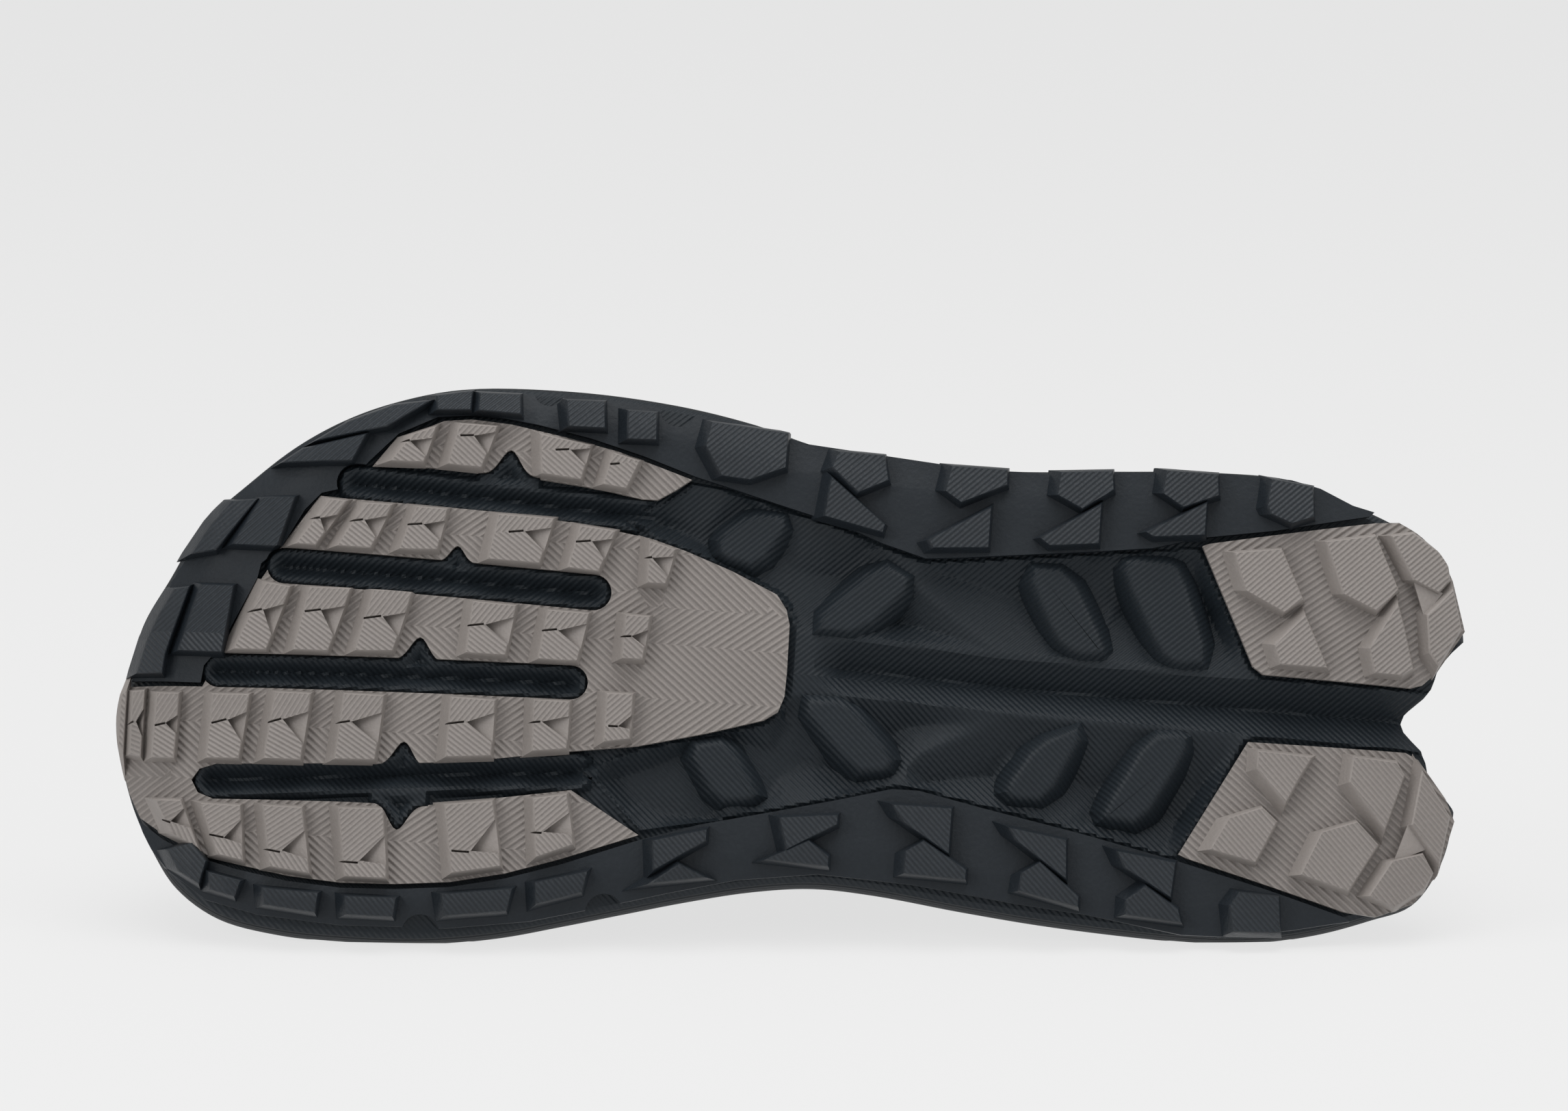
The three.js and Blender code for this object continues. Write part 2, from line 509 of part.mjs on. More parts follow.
// A closed loft through rings of 3D points
function loft(rings, top = 0) {
  const count = rings[0].length;
  const vertices = rings.flat();
  const faces = [];
  for (let ring = 0; ring < rings.length - 1; ring += 1) {
    for (let i = 0; i < count; i += 1) {
      const a = ring * count + i;
      const b = ring * count + ((i + 1) % count);
      faces.push([a, b, b + count], [a, b + count, a + count]);
    }
  }
  const last = (rings.length - 1) * count;
  filled(count, top).forEach(([a, b, c]) => {
    faces.push([a, c, b], [a + last, b + last, c + last]);
  });
  return solid(vertices, faces);
}

function meshOf(shape) {
  const { vertProperties, triVerts } = shape.getMesh();
  const vertices = [];
  for (let i = 0; i < vertProperties.length; i += 3) {
    vertices.push([...vertProperties.slice(i, i + 3)]);
  }
  const faces = [];
  for (let i = 0; i < triVerts.length; i += 3) {
    faces.push([...triVerts.slice(i, i + 3)]);
  }
  return { vertices, faces };
}

function moved(shape, move) {
  const { vertices, faces } = meshOf(shape);
  return solid(vertices.map(move), faces);
}

// Cuts every face of a closed mesh along the line where a value measured on it is zero.
// Corners within SNAP of that line count as on it.
const SNAP = 0.25;
function scored({ vertices, faces }, measure) {
  const points = [...vertices];
  const values = points.map(measure).map((value) => (Math.abs(value) < SNAP ? 0 : value));
  const crossings = new Map();
  const crossing = (a, b) => {
    const [low, high] = a < b ? [a, b] : [b, a];
    const key = `${low} ${high}`;
    if (!crossings.has(key)) {
      const at = (t) => points[low].map((value, k) => lerp(value, points[high][k], t));
      let [start, end] = [0, 1];
      for (let step = 0; step < 8; step += 1) {
        const half = (start + end) / 2;
        if (measure(at(half)) * values[low] > 0) {
          start = half;
        } else {
          end = half;
        }
      }
      crossings.set(key, points.push(at(clamp((start + end) / 2, 0.02, 0.98))) - 1);
    }
    return crossings.get(key);
  };
  const result = [];
  faces.forEach((face) => {
    const signs = face.map((i) => Math.sign(values[i]));
    if (!signs.includes(1) || !signs.includes(-1)) {
      result.push(face);
      return;
    }
    const lone = signs.includes(0)
      ? signs.indexOf(0)
      : signs.findIndex((sign) => signs.filter((other) => other === sign).length === 1);
    const [a, b, c] = [0, 1, 2].map((k) => face[(lone + k) % 3]);
    if (values[a] === 0) {
      const middle = crossing(b, c);
      result.push([a, b, middle], [a, middle, c]);
      return;
    }
    const [ab, ac] = [crossing(a, b), crossing(a, c)];
    result.push([a, ab, ac], [ab, b, c], [ab, c, ac]);
  });
  return { vertices: points, faces: result };
}

// The bent sole surface

const toPlan = (table) => anticlockwise(table.map(({ along, across }) => onPlan(along, across)));
const soleLoop = closedSpline(toPlan(SOLE_OUTLINE), 72);
const toeLift = polyline(ROCKER, 'toe');
const heelLift = polyline(ROCKER, 'heel');
const curlShare = polyline(ROCKER, 'curl');
const bedRise = curve(FOOTBED, 'rise');
const rimRise = curve(FOOTBED, 'rim');
const footbed = (x) => FOOTBED_HEIGHT + FOOTBED_TOE_RISE * bedRise(x / SOLE_LENGTH);
const rimHeight = (x) => footbed(x) + RIM_RISE * rimRise(x / SOLE_LENGTH);
const rocker = (x) =>
  TOE_SPRING * toeLift(x / SOLE_LENGTH) + HEEL_LIFT * heelLift(x / SOLE_LENGTH);

function groundLift(x, y) {
  const near = clamp(1 - edgeDistance(soleLoop, x, y) / CURL_BAND, 0, 1);
  return rocker(x) + EDGE_CURL * curlShare(x / SOLE_LENGTH) * near;
}

// Heights up to LOW_ZONE follow the tread, and above it they run up to the rim.
const LOW_ZONE = FOAM + SIDE_FOOT;
function bendSole([x, y, height]) {
  const low = groundLift(x, y) + Math.min(height, LOW_ZONE);
  if (height <= LOW_ZONE) {
    return [x, y, low];
  }
  return [x, y, lerp(low, rimHeight(x), (height - LOW_ZONE) / (RIM_LEVEL - LOW_ZONE))];
}

// A flat solid is scored where the sole bends, then bent.
const bends = [
  ...ROCKER.slice(1, -1).map(({ at }) => ([x]) => x - at * SOLE_LENGTH),
  ([x, y]) => edgeDistance(soleLoop, x, y) - CURL_BAND,
  ([, , height]) => height - LOW_ZONE,
];
function bent(shape) {
  const { vertices, faces } = bends.reduce(scored, meshOf(shape));
  return solid(vertices.map(bendSole), faces);
}

// Outlines around the sole, point for point from heel to toe and back

const RING_STATIONS = 18;
const END_SHARE = 0.0015;
const ROUNDING = 0.75;
function stations(loop, count, endShare) {
  const xs = loop.map(([x]) => x);
  const low = Math.min(...xs);
  const high = Math.max(...xs);
  return Array.from({ length: count + 1 }, (_, i) => {
    const round = (1 - Math.cos((Math.PI * i) / count)) / 2;
    const share = lerp(i / count, round, ROUNDING);
    return lerp(low, high, clamp(share, endShare, 1 - endShare));
  });
}

function shareRing(loop) {
  const places = stations(loop, RING_STATIONS, END_SHARE);
  const inner = places.map((x) => [x, edgesAt(loop, x)[0]]);
  const outer = places.map((x) => [x, edgesAt(loop, x)[1]]);
  return [...inner, ...outer.reverse()];
}

const ARC_STEPS = 4;
function capsule(row, shrink = 0) {
  const toe = new THREE.Vector2(...onPlan(row.toe, row.toeAcross));
  const heel = new THREE.Vector2(...onPlan(row.heel, row.heelAcross));
  const along = toe.clone().sub(heel).normalize();
  const radius = row.breadth / 2;
  toe.addScaledVector(along, -radius);
  heel.addScaledVector(along, radius);
  const start = along.angle();
  const arc = (centre, from) =>
    Array.from({ length: ARC_STEPS + 1 }, (_, i) => {
      const angle = from + (Math.PI * i) / ARC_STEPS;
      return [
        centre.x + (radius - shrink) * Math.cos(angle),
        centre.y + (radius - shrink) * Math.sin(angle),
      ];
    });
  return [...arc(toe, start - Math.PI / 2), ...arc(heel, start + Math.PI / 2)];
}

const NOTCH_SIDES = 8;
const disc = ([x, y], radius) =>
  Array.from({ length: NOTCH_SIDES }, (_, i) => {
    const angle = (2 * Math.PI * i) / NOTCH_SIDES;
    return [x + radius * Math.cos(angle), y + radius * Math.sin(angle)];
  });
const notchCutters = (table) =>
  table.map(({ along, across, radius }) =>
    prism(disc(onPlan(along, across), radius), -LUG_DEPTH, FOAM),
  );

// Lugs and pods stand on their base and narrow towards the ground, most at the toe side.
const LUG_DRAFT = 0.8;
const LUG_RAMP = 2.6;
const POD_DRAFT = 2.2;
const MOST_DRAFT = 0.22;
function frustum(row, base, tip, draft, ramp) {
  const outline = [
    onPlan(row.heel + row.heelLean / 2, row.inner),
    onPlan(row.toe + row.toeLean / 2, row.inner),
    onPlan(row.toe - row.toeLean / 2, row.outer),
    onPlan(row.heel - row.heelLean / 2, row.outer),
  ];
  const across = (row.outer - row.inner) * soleSpan(row.toe);
  const slant = Math.max(Math.abs(row.toeLean), Math.abs(row.heelLean)) * SOLE_LENGTH;
  const narrowing = Math.abs(row.toeLean - row.heelLean) / 2;
  const length = (row.toe - row.heel - narrowing) * SOLE_LENGTH;
  const along = (length * across) / Math.hypot(across, slant);
  const side = Math.min(draft, MOST_DRAFT * along, MOST_DRAFT * across);
  const front = Math.max(side, Math.min(ramp, 2 * MOST_DRAFT * along));
  return stack([
    { points: inset(outline, [side, front, side, side]), height: tip },
    { points: outline, height: base },
  ]);
}

const without = (shape, cutters) => cutters.reduce((rest, cutter) => rest.subtract(cutter), shape);
const ROOT = 0.8;
function rubberPiece(table, name, cutters = []) {
  const lugs = LUGS.filter((row) => row.on === name).map((row) =>
    frustum(row, LUG_DEPTH + ROOT, 0, LUG_DRAFT, LUG_RAMP),
  );
  const piece = lugs.reduce((whole, lug) => whole.add(lug), prism(toPlan(table), LUG_DEPTH, FACE));
  return bent(without(piece, cutters));
}

// Cutters around the slots, with a margin where dark rubber meets them
const SLOT_MARGIN = 1;
const slotCutters = (table, margin) =>
  table.map((row) => prism(capsule(row, -margin), -LUG_DEPTH, FOAM));
const notches = notchCutters(NOTCHES);
const railNotches = notchCutters(RAIL_NOTCHES);

const forefootPlate = rubberPiece(PLATE_OUTLINE, 'plate', [
  ...slotCutters(SLOTS, 0),
  ...notches,
]);
const forefootIsland = rubberPiece(ISLAND_OUTLINE, 'island', notches);
const lateralRail = rubberPiece(LATERAL_RAIL_OUTLINE, 'lateral', [
  ...slotCutters([...SLOTS, GROOVES[0]], SLOT_MARGIN),
  ...railNotches,
]);
const medialRail = rubberPiece(MEDIAL_RAIL_OUTLINE, 'medial', railNotches);
const lateralPad = rubberPiece(LATERAL_PAD_OUTLINE, 'lateralPad');
const medialPad = rubberPiece(MEDIAL_PAD_OUTLINE, 'medialPad');

// The upper's own form, grown outwards by any amount

const upperShare = (x) => clamp((x - UPPER_SETBACK) / UPPER_LENGTH, 0, 1);
const upperPlan = UPPER_PLAN.map(({ along, across }) => [
  UPPER_SETBACK + along * UPPER_LENGTH,
  across * upperSpan(along),
]);
const upperLoop = closedSpline(anticlockwise(upperPlan), 72);
const ridgeShare = curve(UPPER_RIDGE, 'ridge');
const squareness = curve(UPPER_RIDGE, 'square');
const crownShare = curve(UPPER_RIDGE, 'crown');
const heelForward = curve(HEEL_PROFILE, 'forward');
const seat = (x) => footbed(x) + CLEARANCE;

function formOf(grow) {
  const loop = grow === 0 ? upperLoop : inset(upperLoop, -grow);
  const xs = loop.map(([x]) => x);
  return { grow, loop, low: Math.min(...xs), high: Math.max(...xs) };
}

const FULL_CROWN = 25;
const WIDEST_SHARE = 0.6;
function sectionAt(x, { grow, loop, low, high }) {
  const at = clamp((x - low) / (high - low), 0, 1);
  const [inner, outer] = edgesAt(loop, x);
  const half = (outer - inner) / 2;
  const lean = CROWN_SHIFT * crownShare(at) * Math.min(1, half / FULL_CROWN);
  const ridge = INSTEP_HEIGHT * ridgeShare(at);
  return {
    inner,
    outer,
    square: squareness(at),
    crown: (inner + outer) / 2 - lean,
    base: seat(x) - grow,
    widest: seat(x) + Math.min(WIDEST_HEIGHT, WIDEST_SHARE * ridge),
    ridge: seat(x) + ridge + grow,
  };
}

const heelWarp = ([x, y, z]) => {
  const height = (z - seat(x)) / INSTEP_HEIGHT;
  const fade = 1 - smooth(upperShare(x) / 0.35);
  return [x + HEEL_CURVE * heelForward(height) * fade, y, z];
};

// Shares of a quarter turn at which the section is sampled from its widest place to its ridge
const QUARTER = [0, 0.13, 0.35, 0.64, 1];
function sectionRing(x, form) {
  const part = sectionAt(x, form);
  const upTo = (edge) =>
    QUARTER.map((share) => {
      const angle = (share * Math.PI) / 2;
      const out = share === 1 ? 0 : Math.cos(angle) ** (2 / part.square);
      const up = Math.sin(angle) ** (2 / part.square);
      return [x, lerp(part.crown, edge, out), lerp(part.widest, part.ridge, up)];
    });
  const ring = [...upTo(part.outer), ...upTo(part.inner).reverse().slice(1)];
  const middle = (part.inner + part.outer) / 2;
  const lower = (edge, { breadth, drop }) => [
    x,
    lerp(middle, edge, breadth),
    lerp(part.widest, part.base, drop),
  ];
  FEATHER.forEach((row) => ring.push(lower(part.inner, row)));
  [-0.4, 0.4].forEach((share) =>
    ring.push([x, middle + (share * (part.outer - part.inner)) / 2, part.base]),
  );
  [...FEATHER].reverse().forEach((row) => ring.push(lower(part.outer, row)));
  return ring;
}

const FORM_STATIONS = 16;
const FORM_END = 0.004;
function lastForm(grow, shape = (point) => point) {
  const form = formOf(grow);
  const places = stations(form.loop, FORM_STATIONS, FORM_END);
  const rings = places.map((x) => sectionRing(x, form).map(shape).map(heelWarp));
  return loft(rings, QUARTER.length - 1);
}

// Height of the upper's top at a place in plan, and how steeply it rises towards the toe
const outerForm = formOf(0);
function topAt(x, y) {
  const part = sectionAt(x, outerForm);
  const edge = y >= part.crown ? part.outer : part.inner;
  const out = clamp((y - part.crown) / (edge - part.crown), 0, 1);
  return lerp(part.widest, part.ridge, (1 - out ** part.square) ** (1 / part.square));
}
const SLOPE_STEP = 2;
const slopeAlong = (x, y) =>
  (topAt(x + SLOPE_STEP, y) - topAt(x - SLOPE_STEP, y)) / (2 * SLOPE_STEP);
const slopeAcross = (x, y) =>
  (topAt(x, y + SLOPE_STEP) - topAt(x, y - SLOPE_STEP)) / (2 * SLOPE_STEP);

// Collar, throat and the regions of the overlays

const TALL = 260;
const WIDE = 120;
const sidePrism = (points) => moved(prism(points, -WIDE, WIDE), ([a, b, c]) => [a, -c, b]);
const collarBack = curve(COLLAR, 'back');
const collarDip = curve(COLLAR, 'dip');
const collarThroat = curve(COLLAR, 'throat');
function collarHeight(x) {
  const at = (x - UPPER_SETBACK) / UPPER_LENGTH;
  return (
    seat(x) +
    COLLAR_BACK * collarBack(at) +
    COLLAR_DIP * collarDip(at) +
    THROAT_TOP * collarThroat(at)
  );
}

const COLLAR_STEPS = 12;
const collarStart = COLLAR[0].at;
const collarEnd = COLLAR[COLLAR.length - 1].at;
const collarLine = Array.from({ length: COLLAR_STEPS + 1 }, (_, i) => {
  const x = UPPER_SETBACK + lerp(collarStart, collarEnd, i / COLLAR_STEPS) * UPPER_LENGTH;
  return [x, collarHeight(x)];
});
const collarCutter = sidePrism([
  ...collarLine,
  [collarLine[COLLAR_STEPS][0], TALL],
  [collarLine[0][0], TALL],
]);

const crownAt = (x) => sectionAt(x, outerForm).crown;
const THROAT_ARC = 6;
function throatOutline(widen, back) {
  const radius = THROAT_WIDTH / 2 + widen;
  const centre = [THROAT_FRONT - THROAT_WIDTH / 2, crownAt(THROAT_FRONT - THROAT_WIDTH / 2)];
  const arc = Array.from({ length: THROAT_ARC + 1 }, (_, i) => {
    const angle = -Math.PI / 2 + (Math.PI * i) / THROAT_ARC;
    return [centre[0] + radius * Math.cos(angle), centre[1] + radius * Math.sin(angle)];
  });
  const half = (centre[0] + back) / 2;
  return [
    [back, crownAt(back) - radius],
    [half, crownAt(half) - radius],
    ...arc,
    [half, crownAt(half) + radius],
    [back, crownAt(back) + radius],
  ];
}
const throatLow = FOOTBED_HEIGHT + INSTEP_HEIGHT * 0.25;
const throatPrism = (widen, back) => prism(throatOutline(widen, back), throatLow, TALL);

// Fills the space between two heights that change along the shoe
const SLAB_STEPS = 14;
function slab(low, high) {
  const rings = [];
  for (let i = 0; i <= SLAB_STEPS; i += 1) {
    const x = lerp(-CURL_BAND, SOLE_LENGTH + CURL_BAND, i / SLAB_STEPS);
    rings.push([
      [x, WIDE, low(x)],
      [x, WIDE, high(x)],
      [x, -WIDE, high(x)],
      [x, -WIDE, low(x)],
    ]);
  }
  return loft(rings);
}

// Padding thickens the wall inwards below the collar and behind the throat.
const PAD_DROP = 34;
const PAD_BLEND = 16;
function padded([x, y, z]) {
  const at = upperShare(x);
  const below = smooth((z - collarHeight(x) + PAD_DROP) / PAD_BLEND);
  const behind = 1 - smooth((at - 0.13) / 0.09);
  const pad = COLLAR_PAD * below * behind;
  const middle = crownAt(clamp(x, UPPER_SETBACK + WALL, UPPER_SETBACK + UPPER_LENGTH));
  const away = clamp((y - middle) / (UPPER_HEEL_WIDTH / 4), -1, 1);
  return [x + pad * (1 - smooth(at / 0.15)), y - pad * away, z];
}

const eyelets = [];
for (let row = 0; row < EYELET_ROWS; row += 1) {
  const front = THROAT_FRONT - THROAT_WIDTH / 2;
  const back = collarLine[COLLAR_STEPS][0] + EYELET_DIAMETER;
  const x = lerp(front, back, row / (EYELET_ROWS - 1));
  const reach = THROAT_WIDTH / 2 + EYELET_INSET;
  eyelets.push({ x, outer: crownAt(x) + reach, inner: crownAt(x) - reach });
}
const EYELET_SIDES = 6;
function eyeletCutter(x, y) {
  const normal = new THREE.Vector3(-slopeAlong(x, y), -slopeAcross(x, y), 1).normalize();
  const turn = new THREE.Quaternion().setFromUnitVectors(new THREE.Vector3(0, 0, 1), normal);
  const ring = Array.from({ length: EYELET_SIDES }, (_, i) => {
    const angle = (2 * Math.PI * i) / EYELET_SIDES;
    return [(Math.cos(angle) * EYELET_DIAMETER) / 2, (Math.sin(angle) * EYELET_DIAMETER) / 2];
  });
  const reach = 2 * (WALL + OVERLAY);
  return moved(prism(ring, -reach, reach), (point) => {
    const place = new THREE.Vector3(...point).applyQuaternion(turn);
    return heelWarp([place.x + x, place.y + y, place.z + topAt(x, y)]);
  });
}
const eyeletCutters = eyelets.flatMap(({ x, outer, inner }) => [
  eyeletCutter(x, outer),
  eyeletCutter(x, inner),
]);
const LASTING_SIDE = 0.28;
const LASTING_END = 0.09;
function makeUpper() {
  const hollow = lastForm(-WALL, padded);
  const margin = shareRing(upperLoop).map(([x, y], i, ring) => {
    const middle = (y + ring[ring.length - 1 - i][1]) / 2;
    const centre = UPPER_SETBACK + UPPER_LENGTH / 2;
    return [lerp(centre, x, 1 - LASTING_END), lerp(middle, y, 1 - LASTING_SIDE)];
  });
  const opening = prism(margin, 0, RIM_LEVEL).intersect(slab(() => 0, (x) => seat(x) + 2 * WALL));
  const cutters = [hollow, opening, collarCutter, throatPrism(0, THROAT_BACK), ...eyeletCutters];
  return without(lastForm(0), cutters);
}

const overlayShell = lastForm(CLEARANCE + OVERLAY).subtract(lastForm(CLEARANCE));
const OVERLAY_RISE = 1.4;
const aboveRim = slab((x) => rimHeight(x) + OVERLAY_RISE, () => TALL);
function makeEyestay() {
  const band = throatPrism(EYESTAY_BAND, THROAT_BACK);
  const cutters = [throatPrism(0, THROAT_BACK - 1), collarCutter, ...eyeletCutters];
  return without(overlayShell.intersect(band), cutters);
}

// Back edge of the toe cap in plan: how far behind the toe, and across, as shares of its length
const TOE_CAP_EDGE = rows('behind across', [1, -3], [0.62, -0.3], [1.5, 3]);
function makeToeCap() {
  const front = UPPER_SETBACK + UPPER_LENGTH;
  const edge = TOE_CAP_EDGE.map(({ behind, across }) => [
    front - TOE_CAP_LENGTH * behind,
    TOE_CAP_LENGTH * across,
  ]);
  const sides = [edge[0], edge[edge.length - 1]].map(([, y]) => [front + TOE_CAP_LENGTH, y]);
  const region = prism([sides[0], sides[1], ...edge.reverse()], 0, TALL);
  return overlayShell.intersect(region).intersect(aboveRim);
}

// Front edge of the heel counter from the side, as shares of its length and height
const COUNTER_EDGE = rows('forward up', [1, -0.6], [0.95, 0.45], [0.45, 1]);
function makeCounter() {
  const edge = COUNTER_EDGE.map(({ forward, up }) => [
    UPPER_SETBACK + COUNTER_LENGTH * forward,
    FOOTBED_HEIGHT + COUNTER_HEIGHT * up,
  ]);
  const ends = [edge[edge.length - 1], edge[0]].map(([, z]) => [-COUNTER_LENGTH, z]);
  return overlayShell.intersect(sidePrism([...edge, ...ends])).intersect(aboveRim);
}

function makeTongue() {
  const outside = -WALL - CLEARANCE;
  const shell = lastForm(outside).subtract(lastForm(outside - TONGUE_THICKNESS));
  return shell.intersect(throatPrism(TONGUE_LAP, TONGUE_TOP));
}

function makeInsole() {
  const form = lastForm(-WALL - 2 * CLEARANCE);
  const top = (x) => seat(x) + WALL + 2 * CLEARANCE + INSOLE_THICKNESS;
  return form.intersect(slab(() => 0, top));
}

// Foam midsole: a shell of rings from the tread up to the rim, carved on its underside

const TROUGH_DRAFT = 0.3;
const ARCH_DRAFT = 0.8;
const SPINE_TOE = 0.485;
const SPINE_SHARPNESS = 0.08;
function makeMidsole() {
  const side = shareRing(soleLoop);
  const rim = shareRing(inset(upperLoop, -RIM_WALL));
  let foam = stack(
    [
      { points: inset(side, SIDE_TUCK), height: FOAM },
      { points: side, height: LOW_ZONE },
      { points: rim, height: RIM_LEVEL - LIP },
      { points: inset(rim, LIP), height: RIM_LEVEL },
    ],
    true,
  );
  const trough = (row) =>
    stack([
      { points: capsule(row, 0), height: FACE },
      { points: capsule(row, row.breadth * TROUGH_DRAFT), height: FOAM + SLOT_DEPTH },
    ]);
  const arch = toPlan(ARCH_OUTLINE);
  const archFloor = FOAM + ARCH_DEPTH;
  const recess = stack([
    { points: inset(arch, -CLEARANCE), height: FACE },
    { points: inset(arch, ARCH_DEPTH * ARCH_DRAFT), height: archFloor },
  ]);
  const spineToe = SPINE_TOE * SOLE_LENGTH;
  const spine = (half, short) => [
    [-WIDE, -half],
    [spineToe - short - half, -half],
    [spineToe - short, 0],
    [spineToe - short - half, half],
    [-WIDE, half],
  ];
  const groove = stack([
    { points: spine(SPINE_WIDTH / 2, 0), height: FACE },
    { points: spine(SPINE_WIDTH * SPINE_SHARPNESS, SPINE_WIDTH / 2), height: FOAM + SPINE_DEPTH },
  ]);
  const notch = HEEL_NOTCH.map(({ along, across }) => [along * SOLE_LENGTH, across * HEEL_WIDTH]);
  const carvings = [...SLOTS.map(trough), ...GROOVES.map(trough), recess, groove];
  foam = without(foam, [...carvings, prism(notch, 0, RIM_LEVEL + RIM_RISE)]);
  const pods = LUGS.filter((row) => row.on === 'pod').map((row) =>
    frustum(row, archFloor + ROOT, archFloor - POD_HEIGHT, POD_DRAFT, POD_DRAFT),
  );
  return bent(pods.reduce((whole, pod) => whole.add(pod), foam)).subtract(lastForm(CLEARANCE));
}

// A flat band along a path of points, its breadth along the side direction at each point
function strap(points, sides, width, thickness) {
  const rings = points.map((point, i) => {
    const before = points[Math.max(i - 1, 0)];
    const after = points[Math.min(i + 1, points.length - 1)];
    const along = after.clone().sub(before).normalize();
    const across = sides[i].clone().addScaledVector(along, -sides[i].dot(along)).normalize();
    const up = across.clone().cross(along).normalize();
    return [[1, 1], [1, -1], [-1, -1], [-1, 1]].map(([s, t]) =>
      point.clone()
        .addScaledVector(across, (s * width) / 2)
        .addScaledVector(up, (t * thickness) / 2)
        .toArray(),
    );
  });
  return loft(rings);
}

const LACE_STEPS = 3;
const LACE_REST = 2.1;
const laceGap = 2 * CLEARANCE + OVERLAY + LACE_REST;
function laceBar(from, fromY, to, toY, hump) {
  const places = Array.from({ length: LACE_STEPS + 1 }, (_, i) => {
    const t = i / LACE_STEPS;
    const [x, y] = [lerp(from.x, to.x, t), lerp(fromY, toY, t)];
    const lean = Math.hypot(1, slopeAcross(x, y));
    return { x, y, z: topAt(x, y) + laceGap * lean + hump * Math.sin(Math.PI * t) };
  });
  const path = places.map(({ x, y, z }) => new THREE.Vector3(...heelWarp([x, y, z])));
  const sides = places.map(({ x, y }) => new THREE.Vector3(1, 0, slopeAlong(x, y)));
  return strap(path, sides, LACE_WIDTH, LACE_THICKNESS);
}

function makeLaces() {
  const [first] = eyelets;
  let laces = laceBar(first, first.outer, first, first.inner, 0);
  eyelets.slice(1).forEach((eyelet, i) => {
    const before = eyelets[i];
    laces = laces.add(laceBar(before, before.outer, eyelet, eyelet.inner, 0));
    laces = laces.add(
      laceBar(before, before.inner, eyelet, eyelet.outer, LACE_THICKNESS * 0.7),
    );
  });
  return laces;
}

// The loop from outside the heel to inside it: how far in, as a share of the way from its outer
// to its inner run, and how far above the collar, as a share of LOOP_RISE
const LOOP_PATH = rows(
  'in up',
  [0, -1], [0, 0], [0.03, 0.6], [0.25, 0.95], [0.57, 1], [0.89, 0.75], [1, 0.3], [1, 0], [1, -1],
);
function makePullLoop() {
  const top = seat(UPPER_SETBACK) + COLLAR_BACK;
  const outside = 2 * CLEARANCE + LOOP_THICKNESS / 2;
  const inside = WALL + COLLAR_PAD + 3 * outside;
  const path = LOOP_PATH.map((row) => {
    const z = top + LOOP_RISE * row.up;
    const [back] = heelWarp([UPPER_SETBACK, 0, Math.min(z, top)]);
    return new THREE.Vector3(back + lerp(-outside, inside, row.in), 0, z);
  });
  const sides = path.map(() => new THREE.Vector3(0, 1, 0));
  return strap(path, sides, LOOP_WIDTH, LOOP_THICKNESS);
}

const pieces = [
  ['midsole', makeMidsole(), COLOURS.foam, 0.75],
  ['outsole_forefoot', forefootPlate, COLOURS.taupeRubber, 0.62],
  ['outsole_forefoot_island', forefootIsland, COLOURS.taupeRubber, 0.62],
  ['outsole_lateral_rail', lateralRail, COLOURS.darkRubber, 0.6],
  ['outsole_medial_rail', medialRail, COLOURS.darkRubber, 0.6],
  ['heel_pad_lateral', lateralPad, COLOURS.taupeRubber, 0.62],
  ['heel_pad_medial', medialPad, COLOURS.taupeRubber, 0.62],
  ['upper', makeUpper(), COLOURS.mesh, 0.9],
  ['insole', makeInsole(), COLOURS.lining, 0.95],
  ['tongue', makeTongue(), COLOURS.mesh, 0.9],
  ['eyestay', makeEyestay(), COLOURS.overlay, 0.55],
  ['toe_cap', makeToeCap(), COLOURS.overlay, 0.55],
  ['heel_counter', makeCounter(), COLOURS.overlay, 0.55],
  ['laces', makeLaces(), COLOURS.lace, 0.85],
  ['pull_loop', makePullLoop(), COLOURS.accent, 0.8],
];

// The shoe lies on its inner side, on three places of the sole edge and the upper.

function lyingTurn(points) {
  const heelward = (point, from) => Math.atan2(point.y - from.y, from.x - point.x);
  const first = points.reduce((low, point) => (point.y < low.y ? point : low));
  const farEnough = points.filter((point) => point.x < first.x - BALL_WIDTH / 2);
  const second = farEnough.reduce((best, point) =>
    heelward(point, first) < heelward(best, first) ? point : best,
  );
  const edge = second.clone().sub(first).normalize();
  const rise = new THREE.Vector3(0, 0, 1);
  rise.addScaledVector(edge, -rise.dot(edge)).normalize();
  const over = edge.clone().cross(rise);
  const lean = (point) => {
    const reach = point.clone().sub(first);
    return Math.atan2(reach.dot(over), reach.dot(rise));
  };
  const above = points.filter((point) => point.z > first.z + FOOTBED_HEIGHT);
  const third = above.reduce((best, point) => (lean(point) < lean(best) ? point : best));
  const up = third.clone().sub(first).cross(second.clone().sub(first)).normalize();
  if (up.y < 0) {
    up.negate();
  }
  const along = new THREE.Vector3(-1, 0, 0);
  along.addScaledVector(up, -along.dot(up)).normalize();
  const away = up.clone().cross(along);
  const turn = new THREE.Matrix4().makeBasis(along, away, up).transpose();
  return { turn, floor: first.clone().applyMatrix4(turn).z };
}

const corners = pieces.flatMap(([, shape]) =>
  meshOf(shape).vertices.map((vertex) => new THREE.Vector3(...vertex)),
);
const { turn, floor } = lyingTurn(corners);
const unturn = turn.clone().invert();
const ground = floor + FLOOR_FLAT;
const reach = 2 * SOLE_LENGTH;
const square = [
  [-reach, -reach],
  [reach, -reach],
  [reach, reach],
  [-reach, reach],
];
const floorCutter = moved(prism(square, floor - TALL, ground), (point) =>
  new THREE.Vector3(...point).applyMatrix4(unturn).toArray(),
);

